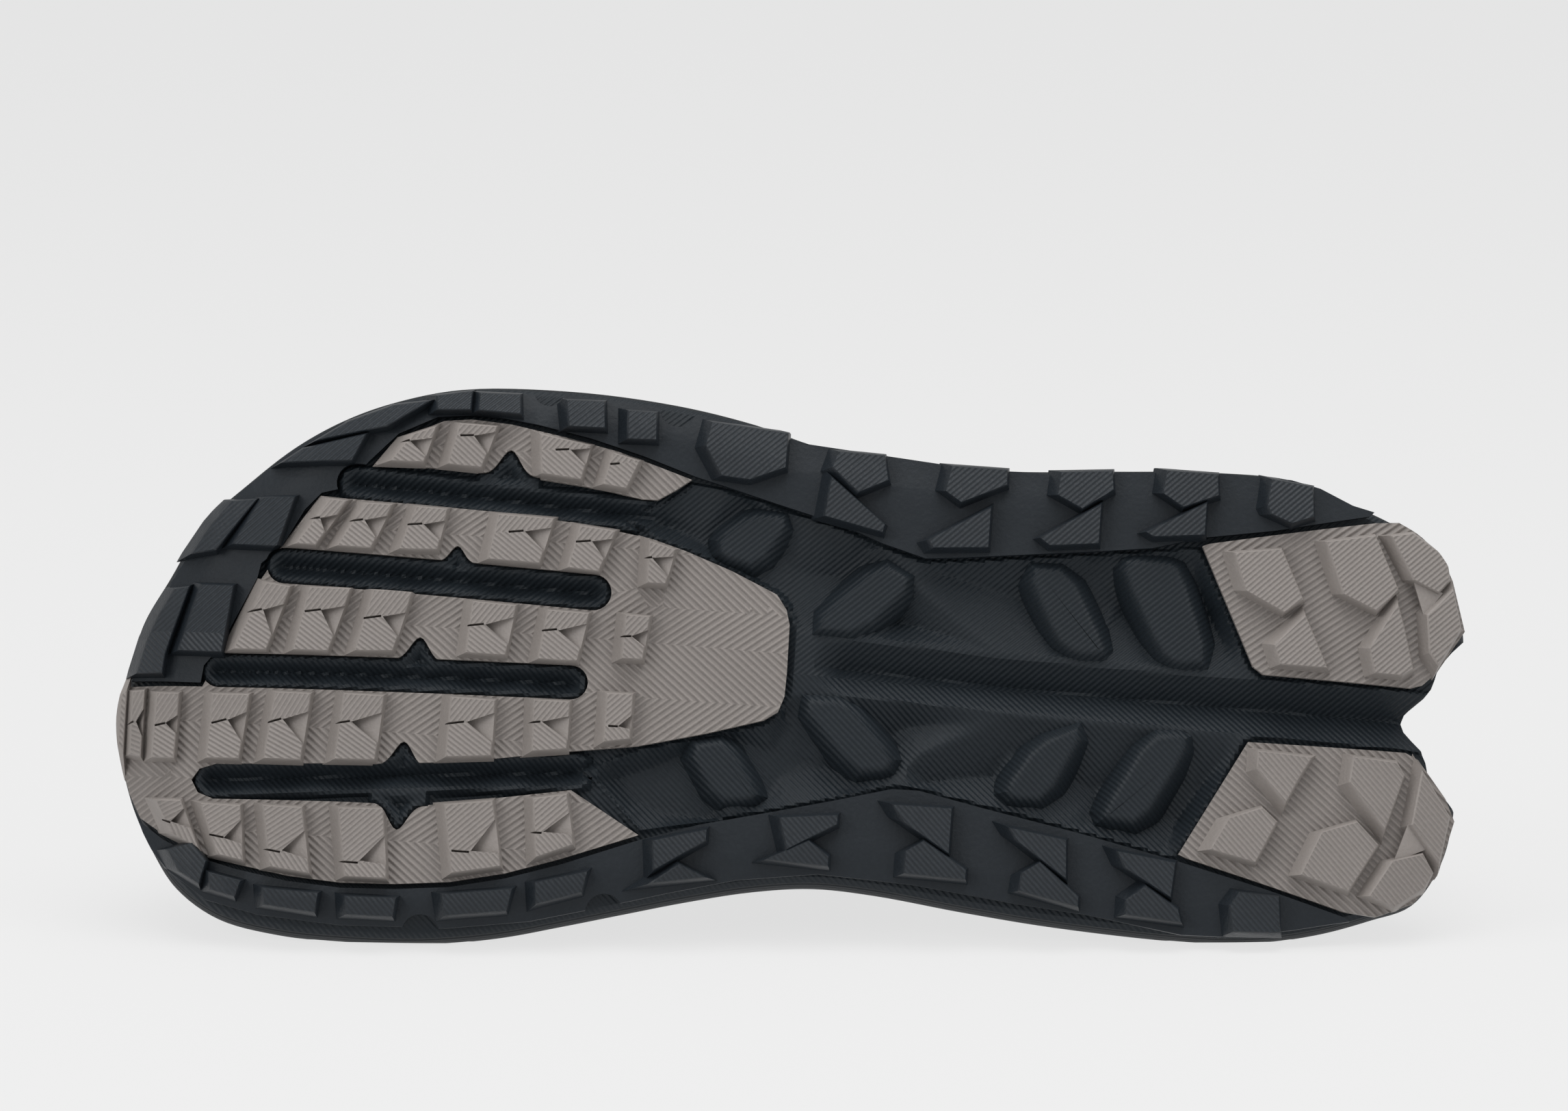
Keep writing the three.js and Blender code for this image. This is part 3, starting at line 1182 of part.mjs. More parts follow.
function geometryOf(shape) {
  const { vertices, faces } = meshOf(shape);
  const geometry = new THREE.BufferGeometry();
  geometry.setAttribute('position', new THREE.Float32BufferAttribute(vertices.flat(), 3));
  geometry.setIndex(faces.flat());
  const merged = mergeVertices(geometry, 1e-5);
  merged.computeVertexNormals();
  return merged;
}

const shoe = new THREE.Group();
pieces.forEach(([name, shape, color, roughness]) => {
  const rests = meshOf(shape).vertices.some(
    (vertex) => new THREE.Vector3(...vertex).applyMatrix4(turn).z < ground,
  );
  const geometry = geometryOf(rests ? shape.subtract(floorCutter) : shape);
  const material = new THREE.MeshStandardMaterial({ color, roughness, flatShading: true });
  const mesh = new THREE.Mesh(geometry, material);
  mesh.name = name;
  shoe.add(mesh);
});

shoe.quaternion.setFromRotationMatrix(turn);
shoe.updateMatrixWorld(true);
const box = new THREE.Box3().setFromObject(shoe, true);
const middle = box.getCenter(new THREE.Vector3());
shoe.position.set(-middle.x, -middle.y, -box.min.z);

export default shoe;
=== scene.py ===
"""A left trail running shoe lying on its inner side, with its tread towards the camera."""

import math

import bmesh
import bpy
import numpy as np
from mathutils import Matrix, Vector, geometry


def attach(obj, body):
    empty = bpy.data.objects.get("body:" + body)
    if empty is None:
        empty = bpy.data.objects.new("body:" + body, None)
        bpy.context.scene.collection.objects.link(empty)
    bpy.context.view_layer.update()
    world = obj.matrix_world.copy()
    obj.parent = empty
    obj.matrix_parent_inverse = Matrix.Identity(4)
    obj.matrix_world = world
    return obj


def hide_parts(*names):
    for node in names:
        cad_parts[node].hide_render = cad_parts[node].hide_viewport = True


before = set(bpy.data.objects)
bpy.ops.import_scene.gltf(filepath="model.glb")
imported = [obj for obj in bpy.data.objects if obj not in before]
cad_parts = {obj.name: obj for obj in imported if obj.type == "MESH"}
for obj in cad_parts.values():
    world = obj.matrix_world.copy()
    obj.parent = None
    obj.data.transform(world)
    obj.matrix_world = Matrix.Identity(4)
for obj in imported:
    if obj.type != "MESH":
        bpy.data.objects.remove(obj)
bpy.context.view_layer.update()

# Camera. A long lens a few steps away and a little above the shoe, looking straight at the
# tread, so that the sole shows nearly flat, with a strip of its inner wall below it.
LENS = 0.170
SENSOR = 0.036
FIELD = 0.353
LOOK_DOWN = math.radians(8.6)
AIM = Vector((-0.0012, 0.0, 0.077))

camera_data = bpy.data.cameras.new("camera")
camera_data.lens = LENS * 1000
camera_data.sensor_width = SENSOR * 1000
camera_data.clip_start = 0.05
camera = bpy.data.objects.new("camera", camera_data)
backwards = Vector((0, -math.cos(LOOK_DOWN), math.sin(LOOK_DOWN)))
camera.location = AIM + backwards * (FIELD * LENS / SENSOR)
camera.rotation_euler = (-backwards).to_track_quat("-Z", "Y").to_euler()
bpy.context.scene.collection.objects.link(camera)
bpy.context.scene.camera = camera


# Studio. Matt backdrop paper laid flat far past the shoe and lit through from below, so that it
# looks evenly pale; a wide soft lamp overhead and two weaker ones in front leave a faint shadow.
def linear(colour):
    """The linear RGBA of an sRGB hex colour."""
    parts = [int(colour[i : i + 2], 16) / 255 for i in (1, 3, 5)]
    return [c / 12.92 if c <= 0.04045 else ((c + 0.055) / 1.055) ** 2.4 for c in parts] + [1]


def add(tree, kind, links=None, **settings):
    """Adds a node with its settings, and links sockets of other nodes into its inputs."""
    node = tree.nodes.new(kind)
    for name, value in settings.items():
        if hasattr(node, name):
            setattr(node, name, value)
        else:
            node.inputs[name.replace("_", " ")].default_value = value
    for socket, source in (links or {}).items():
        tree.links.new(source, node.inputs[socket])
    return node


def new_material(name):
    material = bpy.data.materials.new(name)
    material.use_nodes = True
    material.node_tree.nodes.clear()
    return material, material.node_tree


PAPER_REACH = 7.0
# Backdrop paper, calendered to a matt face: one even pale grey without shine, that takes only a
# soft shadow
paper, tree = new_material("matt_backdrop_paper")
matt = add(tree, "ShaderNodeBsdfPrincipled", Base_Color=linear("#dcdcdc"), Roughness=0.95)
glow = add(tree, "ShaderNodeEmission", Color=linear("#ededed"), Strength=1.0)
paper_light = add(tree, "ShaderNodeMixShader", {1: matt.outputs[0], 2: glow.outputs[0]})
paper_light.inputs[0].default_value = 0.85
add(tree, "ShaderNodeOutputMaterial", {"Surface": paper_light.outputs[0]})
floor_mesh = bpy.data.meshes.new("paper_floor")
floor_mesh.from_pydata(
    [(x * PAPER_REACH, y * PAPER_REACH, 0) for x, y in ((-1, -1), (1, -1), (1, 1), (-1, 1))], [],
        [(0, 1, 2, 3)]
)
floor_mesh.materials.append(paper)
paper_floor = bpy.data.objects.new("paper_floor", floor_mesh)
bpy.context.scene.collection.objects.link(paper_floor)

LAMPS = [
    ("overhead", (0.1, -0.25, 1.5), 1.5, 20),
    ("front_left", (-1.3, -1.3, 1.0), 0.9, 11),
    ("front_right", (1.4, -1.5, 0.8), 1.2, 6),
]
for name, place, size, watts in LAMPS:
    lamp_data = bpy.data.lights.new(name, "AREA")
    lamp_data.size = size
    lamp_data.energy = watts
    lamp = bpy.data.objects.new(name, lamp_data)
    lamp.location = place
    towards = Vector((0, 0, 0.05)) - lamp.location
    lamp.rotation_euler = towards.to_track_quat("-Z", "Y").to_euler()
    bpy.context.scene.collection.objects.link(lamp)
world = bpy.data.worlds.new("studio_air")
world.use_nodes = True
world.node_tree.nodes["Background"].inputs["Color"].default_value = linear("#ffffff")
world.node_tree.nodes["Background"].inputs["Strength"].default_value = 0.5
bpy.context.scene.world = world
bpy.context.scene.view_settings.view_transform = "Standard"


# Foam midsole. A deep block of compression-moulded EVA foam that the rubber is glued to. Its
# underside is moulded with channels between the rubber strips, a pleated arch with pods and
# a groove down to the notched heel, and fine ribs cover all of it. Sizes are in millimetres.
SOLE_LENGTH = 295.5
BALL_WIDTH = 124.3
HEEL_WIDTH = 103.7
LUG_DEPTH = 3.8
RUBBER_FACE = 5.8
FOAM_FACE = 6.6
WIDEST = 13.4
FOOTBED = 28
RIM = 37
FROM_BED = 60
TOE_SPRING = 19
HEEL_LIFT = 8
EDGE_CURL = 3.2
CURL_BAND = 9
HEEL_AT = np.array([147.883, -57.759, 49.250])
SHOE_AXES = np.array(
    [[-0.997248, 0.0, 0.074142], [0.071687, 0.255180, 0.964232], [-0.018920, 0.966893, -0.254478]]
)
SOLE_OUTLINE = [
    (0.0, 0.2), (0.007, 0.265), (0.018, 0.33), (0.037, 0.388), (0.057, 0.418), (0.097, 0.46),
    (0.138, 0.496), (0.2, 0.5), (0.27, 0.487), (0.35, 0.46), (0.42, 0.45), (0.49, 0.445),
    (0.54, 0.466), (0.6, 0.478), (0.68, 0.48), (0.76, 0.469), (0.81, 0.438), (0.847, 0.4),
    (0.881, 0.349), (0.915, 0.279), (0.947, 0.203), (0.969, 0.105), (0.987, 0.021),
    (0.9955, -0.08), (1.0, -0.15), (0.994, -0.232), (0.983, -0.307), (0.965, -0.384),
    (0.945, -0.446), (0.912, -0.495), (0.867, -0.517), (0.821, -0.522), (0.761, -0.518),
    (0.703, -0.497), (0.657, -0.471), (0.612, -0.447), (0.566, -0.425), (0.518, -0.408),
    (0.473, -0.404), (0.427, -0.42), (0.36, -0.457), (0.292, -0.486), (0.2, -0.499),
    (0.15, -0.494), (0.097, -0.463), (0.057, -0.423), (0.027, -0.385), (0.009, -0.31),
    (0.0, -0.215),
]
HEEL_NOTCH = [
    (-0.03, 0.24), (0.0, 0.185), (0.01, 0.155), (0.02, 0.118), (0.0222, 0.092), (0.0245, 0.072),
    (0.03, 0.05), (0.0375, 0.031), (0.0428, 0.014), (0.0445, -0.004), (0.0425, -0.022), (0.037, -0.04),
    (0.0295, -0.062), (0.0252, -0.085), (0.0222, -0.118), (0.011, -0.15), (0.0, -0.18), (-0.03, -0.24),
]
# Along the sole: how far the toe and heel lift, and how much the edge curls, as shares
ROCKER = np.array(
    [
        (0.0, 0, 1, 0.25), (0.07, 0, 0.32, 0.25), (0.17, 0, 0, 0.25), (0.63, 0, 0, 0.8),
        (0.735, 0, 0, 1), (0.805, 0.075, 0, 1), (0.865, 0.21, 0, 1), (0.93, 0.48, 0, 1), (1, 1, 0, 1),
    ]
)
# Along the sole: footbed rise at the toe, and height of the rim above the footbed
BED = np.array(
    [
        (0.0, 0.06, 1.35), (0.15, 0, 1.25), (0.4, 0, 1.0), (0.7, 0, 0.9), (0.8, 0.12, 0.9),
        (0.9, 0.5, 0.95), (1.0, 1.05, 1.1),
    ]
)
BED_TOE_RISE = 11
RIM_RISE = 9


def smooth(share):
    share = np.clip(share, 0, 1)
    return share * share * (3 - 2 * share)


def curve(places, values):
    """A smooth curve through rows of a table that never swings past them."""
    x, y = np.array(places, float), np.array(values, float)
    secant = np.diff(y) / np.diff(x)
    before, after = np.r_[secant[0], secant], np.r_[secant, secant[-1]]
    total = np.where(before + after == 0, 1, before + after)
    slope = np.where(before * after > 0, 2 * before * after / total, 0)

    def at(place):
        place = np.clip(place, x[0], x[-1])
        i = np.clip(np.searchsorted(x, place) - 1, 0, len(x) - 2)
        width = x[i + 1] - x[i]
        t = (place - x[i]) / width
        level = y[i] + (y[i + 1] - y[i]) * t * t * (3 - 2 * t)
        return level + width * t * (1 - t) * (slope[i] * (1 - t) - slope[i + 1] * t)

    return at


def span(along):
    return HEEL_WIDTH + (BALL_WIDTH - HEEL_WIDTH) * smooth((along - 0.25) / 0.45)


def upper_span(along):
    return UPPER_HEEL_WIDTH + (UPPER_BALL_WIDTH - UPPER_HEEL_WIDTH) * smooth((along - 0.25) / 0.45)


def plan(shares):
    """Millimetres in plan for rows of shares along and across the sole."""
    shares = np.array(shares, float)
    return np.stack([shares[:, 0] * SOLE_LENGTH, shares[:, 1] * span(shares[:, 0])], 1)


def closed_spline(points, steps):
    loop = []
    for i in range(len(points)):
        a, b, c, d = (points[(i + k) % len(points)] for k in (-1, 0, 1, 2))
        t1 = np.linalg.norm(b - a) ** 0.5
        t2 = t1 + np.linalg.norm(c - b) ** 0.5
        t3 = t2 + np.linalg.norm(d - c) ** 0.5
        for t in np.linspace(t1, t2, steps, endpoint=False):
            one = (t1 - t) / t1 * a + t / t1 * b
            two = (t2 - t) / (t2 - t1) * b + (t - t1) / (t2 - t1) * c
            three = (t3 - t) / (t3 - t2) * c + (t - t2) / (t3 - t2) * d
            left = (t2 - t) / t2 * one + t / t2 * two
            right = (t3 - t) / (t3 - t1) * two + (t - t1) / (t3 - t1) * three
            loop.append((t2 - t) / (t2 - t1) * left + (t - t1) / (t2 - t1) * right)
    return np.array(loop)


def from_loop(points, loop):
    """Distance of points in plan from a closed outline."""
    nearest = np.full(len(points), np.inf)
    for a, b in zip(loop, np.roll(loop, -1, 0)):
        side = b - a
        t = np.clip((points - a) @ side / (side @ side), 0, 1)
        nearest = np.minimum(nearest, np.linalg.norm(points - a - t[:, None] * side, axis=1))
    return nearest


def inside(points, loop):
    """Which points in plan lie inside a closed outline."""
    odd = np.zeros(len(points), bool)
    for (x0, y0), (x1, y1) in zip(loop, np.roll(loop, -1, 0)):
        crosses = (y0 > points[:, 1]) != (y1 > points[:, 1])
        if y0 != y1:
            odd ^= crosses & (points[:, 0] < x0 + (points[:, 1] - y0) * (x1 - x0) / (y1 - y0))
    return odd


def edges_at(loop, x):
    """Lowest and highest place across where a closed outline crosses x."""
    a, b = loop, np.roll(loop, -1, 0)
    hit = ((a[:, 0] - x) * (b[:, 0] - x) <= 0) & (a[:, 0] != b[:, 0])
    across = a[hit, 1] + (b[hit, 1] - a[hit, 1]) * (x - a[hit, 0]) / (b[hit, 0] - a[hit, 0])
    return across.min(), across.max()


def grown(loop, amounts):
    """Moves each side of an anticlockwise outline outwards by its own amount."""
    loop = np.array(loop, float)
    sides = np.roll(loop, -1, 0) - loop
    sides /= np.linalg.norm(sides, axis=1)[:, None]
    out = np.stack([sides[:, 1], -sides[:, 0]], 1)
    starts = loop + out * np.broadcast_to(amounts, len(loop))[:, None]
    moved = starts.copy()
    for i in range(len(loop)):
        one, two = sides[i - 1], sides[i]
        turn = one[0] * two[1] - one[1] * two[0]
        if abs(turn) > 0.05:
            gap = starts[i] - starts[i - 1]
            moved[i] = starts[i - 1] + one * ((gap[0] * two[1] - gap[1] * two[0]) / turn)
    return moved


def anticlockwise(loop):
    loop = np.array(loop, float)
    after = np.roll(loop, -1, 0)
    area = (loop[:, 0] * after[:, 1] - after[:, 0] * loop[:, 1]).sum()
    return loop if area > 0 else loop[::-1]


sole_loop = anticlockwise(closed_spline(plan(SOLE_OUTLINE), 6))
toe_lift = curve(ROCKER[:, 0], ROCKER[:, 1])
heel_lift = curve(ROCKER[:, 0], ROCKER[:, 2])
curl = curve(ROCKER[:, 0], ROCKER[:, 3])
bed_rise = curve(BED[:, 0], BED[:, 1])
rim_rise = curve(BED[:, 0], BED[:, 2])


def footbed(x):
    return FOOTBED + BED_TOE_RISE * bed_rise(x / SOLE_LENGTH)


def rim_height(x):
    return footbed(x) + RIM_RISE * rim_rise(x / SOLE_LENGTH)


def tread_lift(x, y):
    along = x / SOLE_LENGTH
    near = 1 - from_loop(np.stack([x, y], 1), sole_loop) / CURL_BAND
    lift = TOE_SPRING * toe_lift(along) + HEEL_LIFT * heel_lift(along)
    return lift + EDGE_CURL * curl(along) * smooth(near)


def in_frame(points):
    """Shoe millimetres, heel to toe, inner to outer side and tread to upper, as frame metres."""
    return (np.asarray(points, float) @ SHOE_AXES + HEEL_AT) / 1000


def bent(points):
    """Bends points of the flat sole to its rocker and edge curl, and lays them in the frame.

    Heights from FROM_BED upwards are heights above the footbed.
    """
    x, y, height = points.T
    low = tread_lift(x, y) + np.minimum(height, WIDEST)
    rise = np.clip((height - WIDEST) / (RIM - WIDEST), 0, None)
    level = np.where(height < FROM_BED, low + rise * (rim_height(x) - low), footbed(x) + height - FROM_BED)
    return in_frame(np.stack([x, y, level], 1))


def stack(rings):
    """A closed solid through outlines of as many points, listed from the tread upwards."""
    count = len(rings[0][0])
    vertices = [(x, y, height) for outline, height in rings for x, y in outline]
    faces = [tuple(range(count))[::-1]]
    for level in range(len(rings) - 1):
        for i in range(count):
            a, b = level * count + i, level * count + (i + 1) % count
            faces.append((a, b, b + count, a + count))
    faces.append(tuple(range((len(rings) - 1) * count, len(rings) * count)))
    return vertices, faces


def new_object(name, solids):
    """One object from a list of solids."""
    vertices, faces = [], []
    for corners, sides in solids:
        faces += [tuple(i + len(vertices) for i in side) for side in sides]
        vertices += [tuple(corner) for corner in corners]
    mesh = bpy.data.meshes.new(name)
    mesh.from_pydata(vertices, [], faces)
    piece = bpy.data.objects.new(name, mesh)
    bpy.context.scene.collection.objects.link(piece)
    return piece


def applied(piece):
    """Applies the modifiers of a piece."""
    depsgraph = bpy.context.evaluated_depsgraph_get()
    mesh = bpy.data.meshes.new_from_object(piece.evaluated_get(depsgraph))
    piece.modifiers.clear()
    piece.data = mesh
    return piece


def combine(piece, operation, solids):
    """Joins solids to a piece, cuts them out of it, or keeps what both share."""
    if not solids:
        return piece
    other = new_object("cutter", solids)
    change = piece.modifiers.new("combine", "BOOLEAN")
    change.operation = operation
    change.solver = "MANIFOLD"
    change.object = other
    applied(piece)
    bpy.data.objects.remove(other)
    return piece


def prism(outline, low, high):
    return stack([(outline, low), (outline, high)])


# Channels moulded in the foam: toe and heel ends as shares, and breadth in millimetres
CHANNELS = [
    ((0.8935, 0.129), (0.637, 0.117), 8.0),
    ((0.936, -0.063), (0.6495, -0.044), 7.6),
    ((0.845, 0.283), (0.57, 0.262), 7.6),
    ((0.936, -0.258), (0.64, -0.2), 8.6),
]
# Bays where a channel widens into the rubber beside it: place on its edge, reach and half
# breadth in millimetres; the reach is negative towards the inner side
BAYS = [
    ((0.7755, -0.026), 5.2, 3.4), ((0.7815, -0.213), 5.4, 3.4), ((0.782, -0.28), -5.6, 3.4),
    ((0.753, 0.152), 3.6, 2.6), ((0.719, 0.312), 5.6, 3.6),
]
ARC_STEPS = 12


def channel_outline(toe, heel, breadth, grow=0.0):
    (toe, heel), radius = plan([toe, heel]), breadth / 2
    along = (toe - heel) / np.linalg.norm(toe - heel)
    start = math.atan2(along[1], along[0])
    outline = []
    for centre, turn in ((toe - along * radius, -math.pi / 2), (heel + along * radius, math.pi / 2)):
        for step in range(ARC_STEPS + 1):
            angle = start + turn + math.pi * step / ARC_STEPS
            outline.append(centre + (radius + grow) * np.array([math.cos(angle), math.sin(angle)]))
    return np.array(outline)


def bay_outline(place, reach, half):
    (x, y), root = plan([place])[0], math.copysign(3.0, reach)
    bell = [(x + t * half, y + reach * math.exp(-1.5 * t * t)) for t in np.linspace(-1.9, 1.9, 19)]
    return anticlockwise(bell + [(x + 1.9 * half, y - root), (x - 1.9 * half, y - root)])


# The pleated arch: its edge along the rubber, then its folds, each a line of places with the
# depth there below the foam's rim. All in millimetres.
ARCH_EDGE = [
    (45, 7.4), (47.4, 9), (60.2, 34.8), (71, 33.2), (82.7, 31.6), (97.5, 29.8), (112.3, 28), (120.3, 27.3),
    (130, 29.9), (138.9, 33.2), (153.7, 36.9), (165.5, 39.9), (172.6, 40.7), (179.5, 35.5), (186, 31),
    (180.3, 27.1), (172.9, 25), (162.5, 21.4), (152.2, 17), (149.8, 13.8), (148.9, 10.5), (148.8, 0),
    (148.9, -5.2), (150.1, -8.8), (153, -10.8), (165.5, -14.6), (180.3, -18.4), (192, -24), (178.5, -37.8),
    (165.5, -34.6), (150.7, -30.9), (135.9, -27), (124.1, -23.7), (118.2, -23.7), (103.4, -26.5),
    (82.7, -30.4), (61.2, -34.8), (47.3, -8), (45, -7.2),
]
ARCH_FOLDS = [
    [(145.8, 9.0, 0.5), (126.3, 9.0, 0.4), (110, 8.2, 0.5), (97.7, 8.2, 0.6), (76.7, 7.6, 0.7),
        (50, 7, 0.5)],
    [(145, -4.4, 0.5), (124.8, -4.2, 0.4), (110, -5.0, 0.5), (96.9, -5.8, 0.6), (72.4, -6.4, 0.7),
        (50, -6.8, 0.5)],
    [(124, 23.2, 0.9), (109.2, 11.9, 0.9)],
    [(116.5, 24.6, 2.6), (98.6, 20.6, 5.2), (90.9, 10.2, 2.2)],
    [(129.5, 18.5, 4.2), (125, 13.6, 5.8), (118, 12.0, 3.4), (109, 9.8, 1.2)],
    [(83.6, 29, 2.4), (76.0, 19.6, 5.8), (70.2, 10, 2.6)],
    [(61.6, 30, 2.6), (57.0, 20, 5.8), (53.4, 13, 3.4), (51.2, 9.8, 0.8)],
    [(132.7, 29, 2.2), (139.5, 22.6, 4.4), (147.2, 22.2, 4.0), (160, 36.6, 2.2)],
    [(148.4, 15.5, 2.8), (160, 22.6, 2.6), (171.6, 29, 3.6), (178, 31, 4.0)],
    [(126.2, -12.5, 5.4), (122.2, -9.6, 4.4), (109, -7.4, 1.2)],
    [(122.9, -20.4, 1.2), (118.3, -15.3, 0.9), (104, -8.4, 1.2)],
    [(116.6, -21.4, 3.2), (101.9, -18.6, 5.4), (97, -9.4, 2.4)],
    [(70.4, -8.4, 2.0), (79.4, -20.5, 5.8), (80.4, -28, 3.0)],
    [(51.0, -9.8, 0.8), (56.2, -17, 4.6), (61.2, -25.4, 5.8), (63.4, -31.6, 2.6)],
    [(148.4, -9.2, 2.8), (143.1, -18.4, 4.6), (135.5, -24.4, 2.6)],
    [(150.4, -26, 3.2), (146.5, -19, 4.2), (160, -14.4, 2.4), (174, -21.5, 4.0), (184, -25.5, 4.2)],
    [(162, -33, 2.6), (173, -32.5, 3.4), (180, -30, 3.8)],
]
# Groove down the middle of the arch and heel: its bottom, and its depth there
GROOVE = [(-5, -0.2, 6.4), (43.6, -0.1, 6.4), (97.2, 0.9, 6.4), (136, 2.2, 5.8), (143.5, 2.4, 0.0)]
GROOVE_HALF = 6.4
FOLD_STEP = 2.5
# Pods that stand in the arch: their flat tops in plan
PODS = [
    [(165.2, 24.5), (165.6, 28.6), (159.2, 34.3), (150, 34.2), (156.5, 22.5)],
    [(130, 26), (122, 22), (133, 9.6), (145, 10)],
    [(98.3, 27), (88.7, 27.4), (79.7, 10.7), (80.3, 8.9), (86.3, 8.6), (91, 12)],
    [(77, 27.6), (76.3, 30.4), (67.3, 30.8), (64.3, 29.3), (56.6, 8.9), (64, 8), (68, 10.7)],
    [(169.3, -17.3), (160.5, -15.6), (153.1, -26.7), (154.5, -28.4), (162.2, -29.4)],
    [(146.3, -5.4), (135, -5.2), (124.3, -16.6), (125.3, -20), (133, -20.6)],
    [(82.3, -6.3), (93.3, -11.4), (99.7, -22), (97.7, -24.2), (90.3, -24)],
    [(60.6, -7), (68.7, -7.6), (77.7, -25), (77.4, -26.9), (69.3, -27.6), (60.7, -11.2)],
]
POD_TIP = 3.9
# Outer edges of a pod from its flat top down: how far out and how deep, in millimetres
POD_SIDE = [(-1.5, 0), (-1.1, 0), (-0.6, 0.1), (0, 0.5), (0.9, 1.7), (1.9, 3.3), (2.8, 5.2), (3.6, 9)]
HEEL_GROOVE = [(52, 7.2), (-4, 7.2), (-4, -7.4), (52, -7.2)]
# Plan of the upper at its widest, which the rim follows: shares of its length and breadth
UPPER_PLAN = [
    (0.0, 0.0), (0.012, 0.19), (0.045, 0.345), (0.1, 0.445), (0.17, 0.49), (0.25, 0.5),
    (0.33, 0.48), (0.42, 0.455), (0.5, 0.45), (0.6, 0.46), (0.7, 0.478), (0.78, 0.465),
    (0.85, 0.41), (0.91, 0.31), (0.955, 0.19), (0.985, 0.06), (1.0, -0.09), (0.99, -0.24),
    (0.965, -0.35), (0.92, -0.44), (0.86, -0.495), (0.78, -0.515), (0.7, -0.5), (0.6, -0.45),
    (0.5, -0.41), (0.42, -0.42), (0.33, -0.465), (0.25, -0.495), (0.17, -0.485), (0.1, -0.44),
    (0.045, -0.34), (0.012, -0.19),
]
UPPER_BACK = 15.5
UPPER_LENGTH = SOLE_LENGTH - UPPER_BACK - 6.0
UPPER_HEEL_WIDTH = 74.0
UPPER_BALL_WIDTH = 106.0
FOAM_STATIONS = 380
FOAM_ROWS = 150


def rounded(outline, times):
    """An outline with its corners cut in turn."""
    loop = anticlockwise(outline)
    for _ in range(times):
        after = np.roll(loop, -1, 0)
        loop = np.stack([loop * 0.8 + after * 0.2, loop * 0.2 + after * 0.8], 1).reshape(-1, 2)
    return loop


def depth_in(points, outline):
    """How far inside an outline points lie, negative outside it."""
    return np.where(inside(points, outline), 1, -1) * from_loop(points, outline)


def foam_height(points):
    """Height of the foam's underside above the lug tips, for points in plan."""
    outlines = [channel_outline(*row) for row in CHANNELS]
    outlines += [bay_outline(*row) for row in BAYS]
    depth = np.max([depth_in(points, outline) for outline in outlines], 0)
    slope = depth - 1.5
    height = FOAM_FACE - 2.1 * smooth((depth + 0.6) / 1.2) + 0.75 * (slope + np.sqrt(slope**2 + 0.3))
    height = np.where(depth < -0.6, FOAM_FACE, height)
    arch = np.array(ARCH_EDGE, float)
    rim_line = [(x, y, 0.0) for x, y in ARCH_EDGE + ARCH_EDGE[:1]]
    control = []
    for line in [rim_line] + ARCH_FOLDS:
        for a, b in zip(np.array(line[:-1], float), np.array(line[1:], float)):
            steps = max(2, math.ceil(np.linalg.norm(b[:2] - a[:2]) / FOLD_STEP))
            control += [a + (b - a) * t for t in np.linspace(0, 1, steps, endpoint=False)]
        control.append(np.array(line[-1], float))
    corners, _, triangles, kept, _, _ = geometry.delaunay_2d_cdt(
        [Vector(row[:2]) for row in control], [], [], 0, 0.01
    )
    drops = [control[origin[0]][2] if origin else 0 for origin in kept]
    drop = np.zeros(len(points))
    for triangle in triangles:
        a, b, c = (np.array(corners[i]) for i in triangle)
        cross = (b[0] - a[0]) * (c[1] - a[1]) - (b[1] - a[1]) * (c[0] - a[0])
        gap = points - a
        v = (gap[:, 0] * (c[1] - a[1]) - gap[:, 1] * (c[0] - a[0])) / cross
        w = (gap[:, 1] * (b[0] - a[0]) - gap[:, 0] * (b[1] - a[1])) / cross
        hit = (v >= -1e-6) & (w >= -1e-6) & (v + w <= 1 + 1e-6)
        fall = drops[triangle[0]] * (1 - v - w) + drops[triangle[1]] * v + drops[triangle[2]] * w
        drop[hit] = fall[hit]
    bottom = np.array(GROOVE, float).T
    off = np.abs(points[:, 1] - np.interp(points[:, 0], bottom[0], bottom[1])) / GROOVE_HALF
    drop = np.maximum(drop, np.interp(points[:, 0], bottom[0], bottom[2]) * (1 - off))
    within = np.maximum(depth_in(points, arch), depth_in(points, np.array(HEEL_GROOVE, float)))
    relief = FOAM_FACE - 1.3 * smooth((within - 0.15) / 0.9) + drop * smooth((within - 0.4) / 0.9)
    return np.where(within > -0.4, np.maximum(relief, np.where(depth > 0, height, 0)), height)


def stations(count):
    even = np.linspace(0, 1, count + 1)
    share = 0.25 * even + 0.75 * (1 - np.cos(np.pi * even)) / 2
    return np.clip(share, 0.0006, 0.9994)


def both_sides(loop, shares):
    """Points of an outline at stations along it: inner side, then outer side."""
    x = loop[:, 0].min() + np.ptp(loop[:, 0]) * shares
    edges = np.array([edges_at(loop, place) for place in x])
    return np.stack([x, edges[:, 0]], 1), np.stack([x, edges[:, 1]], 1)


def sheet_across(sides, rows):
    """Rows of points from the inner to the outer side of an outline."""
    inner, outer = sides
    share = np.linspace(0, 1, rows + 1)[None, :, None]
    return inner[:, None] * (1 - share) + outer[:, None] * share


def grid_faces(stations_count, rows, first):
    place = np.arange(stations_count * rows).reshape(stations_count, rows) + first
    corners = [place[:-1, :-1], place[1:, :-1], place[1:, 1:], place[:-1, 1:]]
    return np.stack(corners, -1).reshape(-1, 4).tolist()


